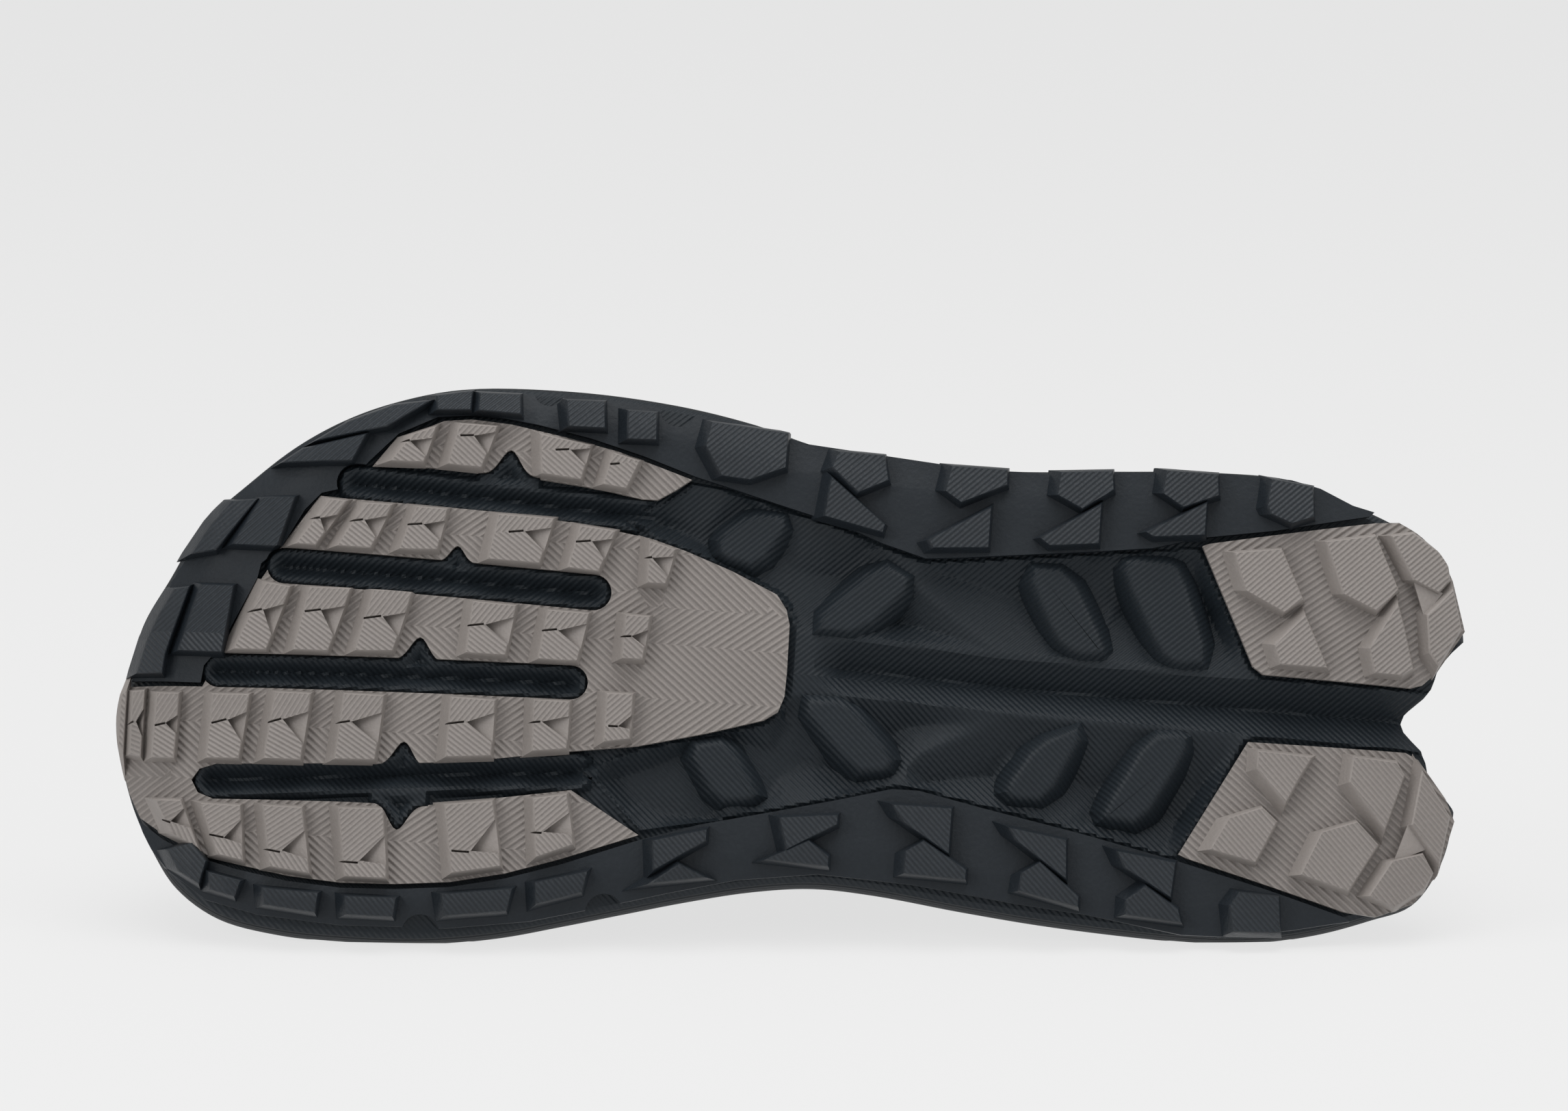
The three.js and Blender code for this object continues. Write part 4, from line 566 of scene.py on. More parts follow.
def closed_between(low_sheet, rings, high_sheet):
    """A closed solid: a sheet below, rings of side points, and a sheet above."""
    count = len(low_sheet)
    vertices = [low_sheet.reshape(-1, 3), high_sheet.reshape(-1, 3)]
    faces = grid_faces(count, low_sheet.shape[1], 0)
    faces += grid_faces(count, high_sheet.shape[1], len(vertices[0]))
    first = len(vertices[0]) + len(vertices[1])
    for side in (0, 1):
        edge = -side
        levels = [low_sheet[:, edge]] + [ring[side] for ring in rings] + [high_sheet[:, edge]]
        wall = np.stack(levels, 1)
        vertices.append(wall.reshape(-1, 3))
        faces += grid_faces(count, len(levels), first)
        first += count * len(levels)
    for end in (0, -1):
        levels = [low_sheet[end]] + [np.array([ring[0][end], ring[1][end]]) for ring in rings]
        for below, above in zip(levels, levels[1:] + [high_sheet[end]]):
            vertices += [below, above[::-1]]
            faces.append(list(range(first, first + len(below) + len(above))))
            first += len(below) + len(above)
    return np.vstack(vertices), faces


def welded(piece, distance=1e-4):
    mesh = bmesh.new()
    mesh.from_mesh(piece.data)
    bmesh.ops.remove_doubles(mesh, verts=mesh.verts, dist=distance)
    bmesh.ops.dissolve_degenerate(mesh, edges=mesh.edges, dist=distance)
    bmesh.ops.recalc_face_normals(mesh, faces=mesh.faces)
    mesh.to_mesh(piece.data)
    mesh.free()
    return piece


def corners_of(mesh):
    """Places of all vertices, and for each face corner its vertex and its face."""
    points = np.empty(len(mesh.vertices) * 3)
    mesh.vertices.foreach_get("co", points)
    vertex = np.empty(len(mesh.loops), int)
    mesh.loops.foreach_get("vertex_index", vertex)
    sizes = np.empty(len(mesh.polygons), int)
    mesh.polygons.foreach_get("loop_total", sizes)
    return points.reshape(-1, 3), vertex, np.repeat(np.arange(len(sizes)), sizes)


def face_values(mesh):
    normal = np.empty(len(mesh.polygons) * 3)
    mesh.polygons.foreach_get("normal", normal)
    centre = np.empty(len(mesh.polygons) * 3)
    mesh.polygons.foreach_get("center", centre)
    return normal.reshape(-1, 3), centre.reshape(-1, 3)


def finished(piece, places, kinds, materials, millimetres, sharp=28):
    """Gives a flat mesh its materials and a map in millimetres, then moves it into place.

    What would sink below the floor is pressed flat against it.
    """
    mesh = piece.data
    places[:, 2] = np.maximum(places[:, 2], 0.0001)
    mesh.materials.clear()
    for material in materials:
        mesh.materials.append(material)
    mesh.polygons.foreach_set("material_index", np.asarray(kinds, np.int32))
    layer = mesh.uv_layers.new(name="millimetres")
    layer.data.foreach_set("uv", np.asarray(millimetres, np.float32).ravel())
    mesh.vertices.foreach_set("co", np.asarray(places, np.float32).ravel())
    mesh.shade_smooth()
    mesh.set_sharp_from_angle(angle=math.radians(sharp))
    mesh.update()
    return piece


def moulded(name, colour, pitch, slant, relief, roughness, grain, wear, painted_rib_shade=0.28, gloss=0.3):
    """Moulded rubber or foam with fine ribs that meet in a chevron on the map's middle line, and painted
    shade in their valleys.
    """
    material, tree = new_material(name)
    coordinates = add(tree, "ShaderNodeUVMap", uv_map="millimetres").outputs[0]
    split = add(tree, "ShaderNodeSeparateXYZ", {"Vector": coordinates})
    across = add(tree, "ShaderNodeMath", {0: split.outputs[1]}, operation="ABSOLUTE")
    turn = 2 * math.pi / pitch
    steep = add(tree, "ShaderNodeMath", {0: across.outputs[0]}, operation="MULTIPLY")
    steep.inputs[1].default_value = turn * math.sin(math.radians(slant))
    along = add(tree, "ShaderNodeMath", {0: split.outputs[0],
        2: steep.outputs[0]}, operation="MULTIPLY_ADD")
    along.inputs[1].default_value = turn * math.cos(math.radians(slant))
    wave = add(tree, "ShaderNodeMath", {0: along.outputs[0]}, operation="SINE")
    level = add(tree, "ShaderNodeMapRange", {"Value": wave.outputs[0]}, From_Min=-1.0)
    place = add(tree, "ShaderNodeTexCoord").outputs["Object"]
    cloud = add(tree, "ShaderNodeTexNoise", {"Vector": place}, Scale=55.0, Detail=4.0)
    dust = add(tree, "ShaderNodeTexNoise", {"Vector": place}, Scale=grain, Detail=3.0)
    # The colour darkens towards the rib valleys by the given share: painted shade between the ribs.
    shade = add(tree, "ShaderNodeMapRange", {"Value": level.outputs[0]}, To_Min=1 - painted_rib_shade)
    mottle = add(tree, "ShaderNodeMapRange", {"Value": cloud.outputs[0]}, To_Min=0.9, To_Max=1.1)
    mixed = add(tree, "ShaderNodeMath", {0: shade.outputs[0], 1: mottle.outputs[0]}, operation="MULTIPLY")
    tint = add(tree, "ShaderNodeMix", {"Factor": dust.outputs[0]}, data_type="RGBA")
    tint.inputs[6].default_value = linear(colour)
    tint.inputs[7].default_value = linear(wear)
    dusted = add(tree, "ShaderNodeMapRange", {"Value": dust.outputs[0]}, From_Min=0.45, To_Max=0.22)
    tree.links.new(dusted.outputs[0], tint.inputs[0])
    toned = add(tree, "ShaderNodeVectorMath", {0: tint.outputs[2]}, operation="SCALE")
    tree.links.new(mixed.outputs[0], toned.inputs["Scale"])
    ribs = add(tree, "ShaderNodeBump", {"Height": level.outputs[0]}, Distance=relief / 1000)
    skin = add(
        tree, "ShaderNodeBump", {"Height": dust.outputs[0], "Normal": ribs.outputs[0]}, Distance=0.00012
    )
    shader = add(
        tree,
        "ShaderNodeBsdfPrincipled",
        {"Base Color": toned.outputs[0], "Normal": skin.outputs[0]},
        Roughness=roughness,
        Specular_IOR_Level=gloss,
    )
    add(tree, "ShaderNodeOutputMaterial", {"Surface": shader.outputs[0]})
    return material


# EVA foam, compression moulded: near black with a blue cast and a dull soft sheen. The ribs of its
# underside are 0.85 mm apart in the real one and drawn at 1.0 so that they show; its side has
# longer lines, 1.4 mm apart
foam_skin = moulded("moulded_eva_foam", "#1d2328", 1.0, 48, 0.16, 0.5, 900.0, "#2a3036", 0.15, 0.2)
foam_side = moulded("moulded_eva_foam_side", "#161b1f", 1.4, 90, 0.16, 0.6, 900.0, "#23282c", 0.2, 0.18)

shares = stations(FOAM_STATIONS)
upper_plan = np.array([(UPPER_BACK + a * UPPER_LENGTH, b * upper_span(a)) for a, b in UPPER_PLAN])
upper_loop = anticlockwise(closed_spline(upper_plan, 6))
sole_sides = both_sides(sole_loop, shares)
foot_sides = both_sides(anticlockwise(grown(sole_loop, -2.2)), shares)
rim_loop = grown(upper_loop, 4.5)
rim_sides = both_sides(rim_loop, shares)
lip_sides = both_sides(grown(upper_loop, 3.2), shares)
seat_sides = both_sides(grown(upper_loop, 0.4), shares)


def ring_at(one, two, share, height):
    """Both sides of a ring part of the way between two outlines."""
    sides = []
    for a, b in zip(one, two):
        flat = a * (1 - share) + b * share
        sides.append(np.column_stack([flat, np.full(len(flat), height)]))
    return sides


tread = sheet_across(foot_sides, FOAM_ROWS)
underside = foam_height(tread.reshape(-1, 2)).reshape(tread.shape[:2])
rings = [
    ring_at(foot_sides, sole_sides, 0.55, 7.6),
    ring_at(foot_sides, sole_sides, 0.85, 9.6),
    ring_at(foot_sides, sole_sides, 1.0, 12.4),
    ring_at(sole_sides, rim_sides, 0.0, 14.4),
    ring_at(sole_sides, rim_sides, 0.22, 18.5),
    ring_at(sole_sides, rim_sides, 0.5, 24.5),
    ring_at(sole_sides, rim_sides, 0.8, 30.5),
    ring_at(sole_sides, rim_sides, 1.0, 35.4),
    ring_at(rim_sides, lip_sides, 0.4, 36.7),
    ring_at(rim_sides, lip_sides, 1.0, 37.0),
    ring_at(seat_sides, seat_sides, 0.0, 36.6),
]
bed_sides = both_sides(grown(upper_loop, -4.0), shares)
bed_sheet = sheet_across(bed_sides, 8)
bed = np.concatenate([bed_sheet, np.full(bed_sheet.shape[:2] + (1,), FROM_BED + 0.0)], 2)
rings.append(ring_at(seat_sides, bed_sides, 0.35, FROM_BED + 3.0))
vertices, faces = closed_between(np.concatenate([tread, underside[:, :, None]], 2), rings, bed)
midsole = welded(new_object("foam_midsole", [(vertices, faces)]))
notch = anticlockwise([(a * SOLE_LENGTH, b * HEEL_WIDTH) for a, b in HEEL_NOTCH])
combine(midsole, "DIFFERENCE", [prism(notch, -5, FROM_BED - 1)])


def pod_rings(outline):
    top = rounded(outline, 1)
    return stack([(grown(top, out), POD_TIP + down) for out, down in POD_SIDE])


pods = new_object("pods", [pod_rings(outline) for outline in PODS])
both = bpy.data.meshes.new("foam_midsole")
whole = bmesh.new()
whole.from_mesh(midsole.data)
whole.from_mesh(pods.data)
whole.to_mesh(both)
whole.free()
bpy.data.objects.remove(pods)
midsole.data = both
points, vertex, face = corners_of(both)
normal, centre = face_values(both)
near_edge = (centre[:, 2] > 7.2) & (from_loop(centre[:, :2], sole_loop) < 4.5)
side = (np.abs(normal[:, 2]) < 0.75) & (near_edge | (centre[:, 2] > 15))
flat = points[vertex]
millimetres = np.where(side[face][:, None], flat[:, [0, 2]], flat[:, :2])
finished(midsole, bent(points), side, [foam_skin, foam_side], millimetres)
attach(midsole, "root")
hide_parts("midsole")


# Forefoot outsole. Two plates of taupe rubber, moulded with lugs that ramp up from the toe side
# and drop off behind. Each lug top is hatched to a chevron and has a triangular pocket beside
# a short slit. Tables are in hundredths of the sole length and of its breadth there.
PLATE = [
    (50.35, 0), (50.4, 9), (50.7, 11.8), (51.5, 14.5), (55, 18), (58.5, 20.7), (61, 22.2), (66, 23.6),
    (72, 24.5), (85.3, 25.3), (86.6, 22.5), (89.75, 10), (92.2, -3), (93.5, -9.3), (99.5, -9.6),
    (99.85, -13), (99.85, -16.5), (99.4, -22.2), (98.5, -28.5), (97.5, -32.8), (95.5, -35.7),
    (93, -38.4), (90, -40.2), (86, -41.8), (82, -42.4), (78, -42), (74, -41), (70, -38.8), (66, -35.7),
    (60.4, -31), (65.6, -23.5), (70, -25.3), (76.4, -28), (82, -28.2), (92, -29), (93.2, -28),
    (93.75, -25.8), (93.2, -23.8), (92, -22.8), (80, -21.1), (74, -19.9), (66, -16.7), (61, -15.1),
    (56, -12.2), (51.8, -9.2), (50.8, -7.5), (50.4, -4.5),
]
ISLAND = [
    (81.9, 31.6), (80, 36.6), (77, 40), (75, 40.6), (72, 40.2), (68, 38.7), (64, 37.1), (61, 35.3),
    (58.4, 33.7), (59.5, 31.5), (60.8, 29.3), (62, 29.1), (65, 30.1), (70.5, 31.1), (76, 31.6),
]
# Each lug: its top from the outer toe corner inwards and back, its slit, and its pocket's
# start, apex and end
PLATE_LUGS = [
    ([(89.8, 9.4), (92.0, -2.6), (88.9, -2.4), (87.5, 8.7)], [(90.5, 4), (89.4, 4.6)],
         [(87.9, 6), (89.3, 4.5), (88.8, -1.5)]),
    ([(86.9, 8.8), (87.6, -2.2), (84.3, -2), (83, 8.9)], [(86.2, 4.6), (85, 5.1)],
         [(83.3, 6.2), (85, 5), (84.1, -1)]),
    ([(82.1, 8.9), (83.1, -1.8), (79.5, -1.3), (78.4, 9.2)], [(81.8, 4), (80.5, 4.6)],
         [(78.8, 5.7), (80.4, 4.5), (79.3, 0)]),
    ([(75.5, 8.2), (75.6, -0.8), (71.2, -0.7), (70.7, 7.9)], [(74.1, 3.9), (72.9, 4.4)],
         [(71, 6.2), (72.8, 4.3), (71.2, 0.5)]),
    ([(69.2, 7.6), (69.6, -1), (65.9, -0.8), (65.3, 7.5)], [(68.6, 4), (67.5, 4.4)],
         [(65.6, 6), (67.4, 4.2), (65.8, 0.5)]),
    ([(63, 7.8), (63, 0.2), (61.1, 0.3), (60.8, 7.8)], [(62.8, 4), (62, 4.2)],
         [(60.9, 6), (62, 4.2), (61.2, 2)]),
    ([(85.3, 24.6), (87.6, 16.6), (85.8, 16.6), (83.8, 24.4)], [(86.6, 21), (85.6, 21.3)],
         [(84, 22.5), (85.6, 21.2), (85.4, 17)]),
    ([(82.9, 24.2), (84.9, 16.6), (81.7, 16.6), (80.4, 24.2)], [(83.4, 21), (82.4, 21.4)],
         [(80.6, 22.6), (82.3, 21.3), (81.5, 17)]),
    ([(79.2, 24.2), (80.4, 16.6), (76.8, 17), (76.3, 24)], [(79.1, 21), (78, 21.3)],
         [(76.3, 22.4), (77.9, 21.2), (76.9, 18)]),
    ([(74.6, 23.8), (75, 16), (69.2, 15.9), (68.4, 23.7)], [(71.6, 20.9), (70.5, 21.3)],
         [(68.6, 22.4), (70.4, 21.2), (69, 17)]),
    ([(67.1, 23), (67.7, 15.6), (64.8, 15.3), (63.8, 22.5)], [(66.6, 20.1), (65.5, 20.5)],
         [(63.8, 21.5), (65.4, 20.4), (64.5, 16)]),
    ([(61.7, 21.6), (61.5, 14), (59.8, 14.2), (59.3, 20.3)], [(61.5, 18.4), (60.9, 18.6)],
         [(59.6, 19.2), (60.9, 18.5), (60, 15)]),
    ([(99.7, -11.5), (99.6, -19.5), (99.2, -21), (99.3, -10.7)], None, None),
    ([(98.95, -10.8), (98.8, -21.6), (97.8, -22), (97.9, -10.6)], [(99.1, -16.6), (98.5, -16)],
         [(97.9, -12), (98.3, -16), (97.8, -21)]),
    ([(97.3, -11), (97.3, -22.2), (95.2, -22.2), (95.2, -11)], [(96.8, -16.7), (96, -16.2)],
         [(95.2, -14), (96, -16.2), (95.2, -19)]),
    ([(93.4, -10.9), (93.4, -22), (90.3, -21.8), (89.9, -10.7)], [(92.5, -15.9), (91.4, -15.1)],
         [(89.9, -13), (91.3, -15.2), (90.2, -20.5)]),
    ([(88.7, -10), (89.2, -21.6), (85.7, -21.4), (85.3, -9.9)], [(88.3, -15.3), (87.3, -14.5)],
         [(85.4, -12.6), (87.2, -14.6), (85.6, -20)]),
    ([(84.3, -9.6), (84.7, -21.1), (80.2, -20.6), (79.9, -9.5)], [(83.8, -15), (82.2, -14.2)],
         [(80, -12), (82.1, -14.3), (80.1, -18.7)]),
    ([(76.6, -8.9), (76.7, -19.7), (71.7, -18.5), (71.7, -9)], [(75.2, -13.6), (73.8, -13)],
         [(71.8, -10.7), (73.6, -13), (71.8, -17)]),
    ([(69.6, -8.4), (69.4, -17.4), (66.2, -16.4), (66.2, -8.3)], [(69.5, -12.5), (68.2, -12)],
         [(66.3, -10.5), (68.1, -12), (66.3, -15.5)]),
    ([(64, -6.4), (64, -15), (61.6, -14), (61.6, -6.2)], [(63.2, -12), (62.5, -12)],
         [(61.7, -9), (62.5, -12), (61.6, -12.6)]),
    ([(96.8, -29.9), (95.5, -34.9), (92.9, -37.6), (94.4, -29.9)], [(95.7, -33.2), (95, -33.7)],
         [(94.3, -30.4), (95, -33.5), (93.9, -34.6)]),
    ([(93.7, -30.2), (91.8, -38.6), (89.4, -39.6), (89.9, -30.3)], [(92, -35.5), (90.9, -35.9)],
         [(90, -32), (90.9, -36), (89.8, -37)]),
    ([(89, -30), (88.2, -40.2), (84.4, -41.2), (85.3, -30)], [(87.9, -37.5), (86.6, -37.9)],
         [(85.3, -33.5), (86.5, -37.6), (84.9, -38.9)]),
    ([(84.3, -29.8), (83.3, -41.4), (78.7, -41.2), (79.3, -29.3)], [(82.7, -38.9), (80.8, -38.9)],
         [(79.4, -33.5), (80.7, -38.5), (78.9, -39)]),
    ([(76.6, -28.5), (75.8, -40.5), (70.4, -37.7), (71.3, -26.6)], [(74, -35.7), (72.7, -35.7)],
         [(71.2, -28.5), (72.6, -35.5), (70.6, -35.5)]),
    ([(69, -26), (68.6, -36.5), (65.2, -33.2), (65.9, -24.6)], [(68.5, -31.5), (67.5, -31.5)],
         [(65.8, -27), (67.4, -31.3), (65.4, -31.5)]),
]
ISLAND_LUGS = [
    ([(79.7, 36.4), (81.4, 32.1), (78.3, 32.3), (77.6, 38.4)], [(80.2, 35.5), (79.4, 35.9)],
         [(78.1, 36.6), (79.4, 35.8), (78.6, 33)]),
    ([(76.6, 39.3), (77.2, 32.3), (74, 32), (73.1, 39.2)], [(75.7, 37.3), (74.7, 37.5)],
         [(73.2, 38.6), (74.7, 37.4), (73.7, 33)]),
    ([(71.8, 39.2), (71, 32), (66.6, 31.3), (66.1, 37.2)], [(68.6, 36), (67.6, 36.3)],
         [(66.1, 37), (67.5, 36.2), (66.5, 33)]),
    ([(64.9, 36.6), (65.4, 30.9), (63.2, 30.5), (62.4, 35.4)], [(64.5, 34.4), (63.8, 34.7)], None),
]
STRIPS = [-0.345, -0.155, 0.035, 0.2, 0.355]
RAMP, SIDE_DRAFT, BACK_DRAFT = 2.8, 1.1, 0.8
LONG_LUG = 13.0
STEP_TOP = 1.3
LUG_ROOT = LUG_DEPTH + 0.8
EDGE_TRIM = 0.2
CUT_END = 9
FLUSH = 0.05
CELL = 4.0


def lug(outline):
    """A lug on its base: a long ramp towards the toe, and steeper sides and back."""
    loop = anticlockwise(outline)
    sides = np.roll(loop, -1, 0) - loop
    facing = sides[:, 1] / np.linalg.norm(sides, axis=1)
    draft = np.where(facing > 0.6, RAMP, np.where(facing < -0.6, BACK_DRAFT, SIDE_DRAFT))
    return stack(
        [(loop, 0.0), (grown(loop, 0.25 * draft / RAMP + 0.14), 0.32), (grown(loop, draft), LUG_ROOT)]
    )


POCKET_BACK, POCKET_EDGE, POCKET_DEPTH, CUT_START = 1.6, 0.3, 2.7, -1
SLIT_HALF, SLIT_DEPTH, SLIT_START = 0.32, 2.0, -0.6


def pocket(start, apex, end):
    """Cutter for a triangular facet that falls from the back edge of a lug to its apex."""
    back = np.array([POCKET_BACK, 0])
    low = [(*(start - back), POCKET_EDGE), (*apex, POCKET_DEPTH), (*(end - back), POCKET_EDGE)]
    high = [(x, y, CUT_START) for x, y, _ in low]
    if np.cross(apex - start, end - start) < 0:
        low, high = low[::-1], high[::-1]
    return high + low, [(2, 1, 0), (3, 4, 5), (0, 1, 4, 3), (1, 2, 5, 4), (2, 0, 3, 5)]


def slit(start, end):
    """Cutter for a tapered slit between two places."""
    out = np.array([end[1] - start[1], start[0] - end[0]]) / np.linalg.norm(end - start) * SLIT_HALF
    corners = [(*(p + s * out), SLIT_START) for p in (start, end) for s in (1, -1)]
    corners += [(*start, SLIT_DEPTH), (*end, SLIT_DEPTH)]
    return corners, [(0, 1, 3, 2), (0, 4, 1), (2, 3, 5), (0, 2, 5, 4), (1, 4, 5, 3)]


def rubber(name, outline, lugs, openings, materials, strips=(), steps=()):
    """A bent rubber plate with lugs; each lug is its outline, slit and pocket in millimetres."""
    piece = new_object(name, [prism(anticlockwise(outline), LUG_DEPTH, RUBBER_FACE)])
    for first in (0, 1):
        combine(piece, "UNION", [lug(row[0]) for row in lugs[first::2]])
    combine(piece, "UNION", [prism(anticlockwise(step), STEP_TOP, LUG_ROOT) for step in steps])
    combine(piece, "INTERSECT", [prism(grown(sole_loop, -EDGE_TRIM), CUT_START, CUT_END)])
    for first in (0, 1):
        combine(piece, "DIFFERENCE", [prism(loop, CUT_START, CUT_END) for loop in openings[first::2]])
    combine(piece, "DIFFERENCE", [pocket(*row[2]) for row in lugs if row[2] is not None])
    combine(piece, "DIFFERENCE", [slit(*row[1]) for row in lugs if row[1] is not None])
    mesh = bmesh.new()
    mesh.from_mesh(piece.data)
    bmesh.ops.triangulate(mesh, faces=mesh.faces)
    points = np.array([vertex.co for vertex in mesh.verts])
    for axis in (0, 1):
        for place in np.arange(points[:, axis].min() + 1, points[:, axis].max(), CELL):
            where, facing = Vector((0, 0, 0)), Vector((0, 0, 0))
            where[axis], facing[axis] = place, 1
            everything = mesh.verts[:] + mesh.edges[:] + mesh.faces[:]
            bmesh.ops.bisect_plane(mesh, geom=everything, dist=1e-4, plane_co=where, plane_no=facing)
    mesh.to_mesh(piece.data)
    mesh.free()
    points, vertex, face = corners_of(piece.data)
    normal, centre = face_values(piece.data)
    flat = points[vertex, :2]
    facing = normal[:, 2] < -0.9
    base_face = facing & (np.abs(centre[:, 2] - LUG_DEPTH) < FLUSH)
    kinds = np.where(facing & (centre[:, 2] < FLUSH), 0, np.where(base_face, 1, 2))
    millimetres = flat.copy()
    for shape, cut, _ in lugs:
        if cut is not None:
            on_lug = (kinds == 0) & inside(centre[:, :2], anticlockwise(shape))
            along = (cut[0] - cut[1]) / np.linalg.norm(cut[0] - cut[1])
            gap = flat - cut[0]
            lug_map = np.stack([gap @ along, along[0] * gap[:, 1] - along[1] * gap[:, 0]], 1)
            millimetres[on_lug[face]] = lug_map[on_lug[face]]
    if len(strips):
        middles = np.array(strips)[None] * span(centre[:, :1] / SOLE_LENGTH)
        nearest = np.array(strips)[np.abs(centre[:, 1:2] - middles).argmin(1)]
        base = (kinds == 1)[face]
        millimetres[base, 1] = (flat[:, 1] - nearest[face] * span(flat[:, 0] / SOLE_LENGTH))[base]
    finished(piece, bent(points), kinds, materials, millimetres)
    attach(piece, "root")
    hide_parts(name)
    return piece


def in_plan(rows):
    return None if rows is None else plan(np.array(rows) / 100)


def lugs_of(table):
    """Lugs in millimetres; the ramp takes up the toe end of each outline, more on a long lug."""
    lugs = []
    for row in table:
        outline, cut, facet = (in_plan(part) for part in row)
        length = outline[0, 0] - outline[3, 0]
        ramp = 0.36 if length > LONG_LUG else 0.25
        outline[:2] += ramp * (outline[[3, 2]] - outline[:2])
        lugs.append((outline, cut, facet))
    return lugs


# Compression-moulded rubber in taupe: a warm grey with a dry satin look. The hatch on the lugs is
# about 0.6 mm fine and drawn at 0.95 so that it shows, the base has ribs 1.3 mm apart, and
# ramps and pockets are smooth
taupe = "#857f7b"
taupe_rubber = [
    moulded("hatched_taupe_rubber", taupe, 0.95, 46, 0.2, 0.55, 1400.0, "#a39d99", 0.2),
    moulded("ribbed_taupe_rubber", taupe, 1.3, 52, 0.3, 0.6, 1400.0, "#938c88", 0.28),
    moulded("smooth_taupe_rubber", taupe, 1.3, 52, 0, 0.5, 1400.0, "#a39d99", 0),
]
openings = [channel_outline(*row) for row in CHANNELS[:2]]
bays = [bay_outline(*row) for row in BAYS]
forefoot = rubber(
    "outsole_forefoot", in_plan(PLATE), lugs_of(PLATE_LUGS), [openings[0], bays[0], openings[1], bays[1],
        bays[2], bays[3]],
    taupe_rubber, STRIPS,
)
island = rubber(
    "outsole_forefoot_island", in_plan(ISLAND), lugs_of(ISLAND_LUGS), [bays[4]], taupe_rubber, STRIPS
)


# Outsole rails. Dark rubber around both edges, glued to the foam, with smaller hatched lugs in
# pairs along the arch. Outlines are in hundredths again, lugs in millimetres.
OUTER_RAIL = [
    (99, -8.6), (93.65, -8.6), (93.5, -5.5), (92.4, -2.2), (90, 10.4), (89.8, 13), (88.3, 16.3),
    (86.85, 22.9), (85.7, 26), (84.2, 27), (82.3, 32.2), (80.3, 37.3), (77.5, 40.7), (74, 41.6),
    (70, 40.5), (66, 38.9), (62, 36.8), (58.2, 34.4), (56, 33.4), (52, 31.5), (47, 29.2), (44, 26.8),
    (40.7, 24.9), (38, 26), (33, 28.3), (28, 30.4), (24, 32), (20.5, 34.9), (15, 37.6), (8, 42.4),
    (7.65, 43.4), (9.3, 44.4), (11.8, 47.4), (14, 48.7), (20, 49), (27, 47.5), (32, 45.5), (38, 44.4),
    (50, 43.8), (54, 45), (60, 46.2), (68, 46.5), (76, 45.6), (81, 42.5), (84.7, 38.8), (88.1, 33.7),
    (91.4, 26.8), (94.3, 19.3), (96.4, 9.8), (98, 1.8),
]
INNER_RAIL = [
    (98.3, -30), (97.4, -33.6), (95.5, -36.6), (93, -39.3), (90, -41.1), (86, -42.7), (82, -43.3),
    (78, -42.9), (74, -41.9), (70, -39.7), (66, -36.7), (60.1, -31.7), (56, -28.9), (51, -26.5),
    (46, -23.9), (42, -21.5), (40, -21.7), (35, -25), (28, -29.2), (20.7, -33.6), (14, -38.2),
    (8, -42.7), (7.55, -43.5), (9, -44.4), (11.8, -46.3), (17, -48.8), (20, -49), (27, -46.2),
    (32.5, -44.3), (40, -40.5), (47, -38.1), (53, -39), (58, -41.3), (63, -44), (68, -46.8),
    (74, -49), (82, -49.7), (88, -48.8), (92, -46.7), (95, -42), (96.8, -37.4),
]
OUTER_RAIL_LUGS = [
    [(291, -9), (289.2, -1.5), (287, 4), (284, 9.6), (281, 10), (285.2, -5), (285.5, -9)],
    [(278, 10.5), (271, 10.5), (272.5, -4), (282, -4)],
    [(280.6, 17.8), (275.5, 18.5), (267.5, 29.8), (272.6, 29.4), (277, 23.8)],
    [(266, 30.2), (259, 30.6), (262, 19.8), (271.6, 19.8)],
    [(262, 38.6), (258, 41.6), (244.5, 45.3), (247, 39.5)],
    [(254.5, 44), (248.6, 48), (239, 52.2), (231.5, 53.6), (240, 47.6)],
    [(229, 52), (229.4, 55), (222, 56.4), (222, 52.4)],
    [(220, 52.4), (220, 56.2), (211.5, 56.4), (211, 52.2)],
    [(200, 50.2), (201, 56), (193, 56.2), (192.4, 50.4)],
    [(187, 48.4), (187.4, 54.6), (181.4, 54.6), (181, 48.6)],
    [(170, 48.2), (169, 53.4), (152.4, 52.2), (152.4, 44.6), (160, 41.4), (166, 41.8)],
    [(141, 49), (131, 48.8), (129.8, 43.5), (136, 40.4), (142, 45.5)],
    [(142, 43), (129.9, 33.6), (130.2, 32), (143, 34.6)],
    [(116, 47.6), (104, 47.6), (103.8, 44.5), (113.5, 39.8), (117, 42)],
    [(120, 31), (107, 39), (107, 30.4), (118.8, 29.4)],
    [(92, 48), (81, 49), (80.5, 45), (87, 40.4), (92.5, 43)],
    [(95.6, 33.2), (83, 41.5), (83, 33), (93.6, 31.8)],
    [(69, 50), (58, 50), (57.5, 45.5), (65, 42.4), (69.5, 45)],
    [(72.6, 36.2), (60, 43.5), (60, 36.6), (71, 35.4)],
    [(46, 49.8), (37, 48.8), (36.4, 42.4), (41, 40.6), (45.5, 42.2), (46.5, 44)],
]
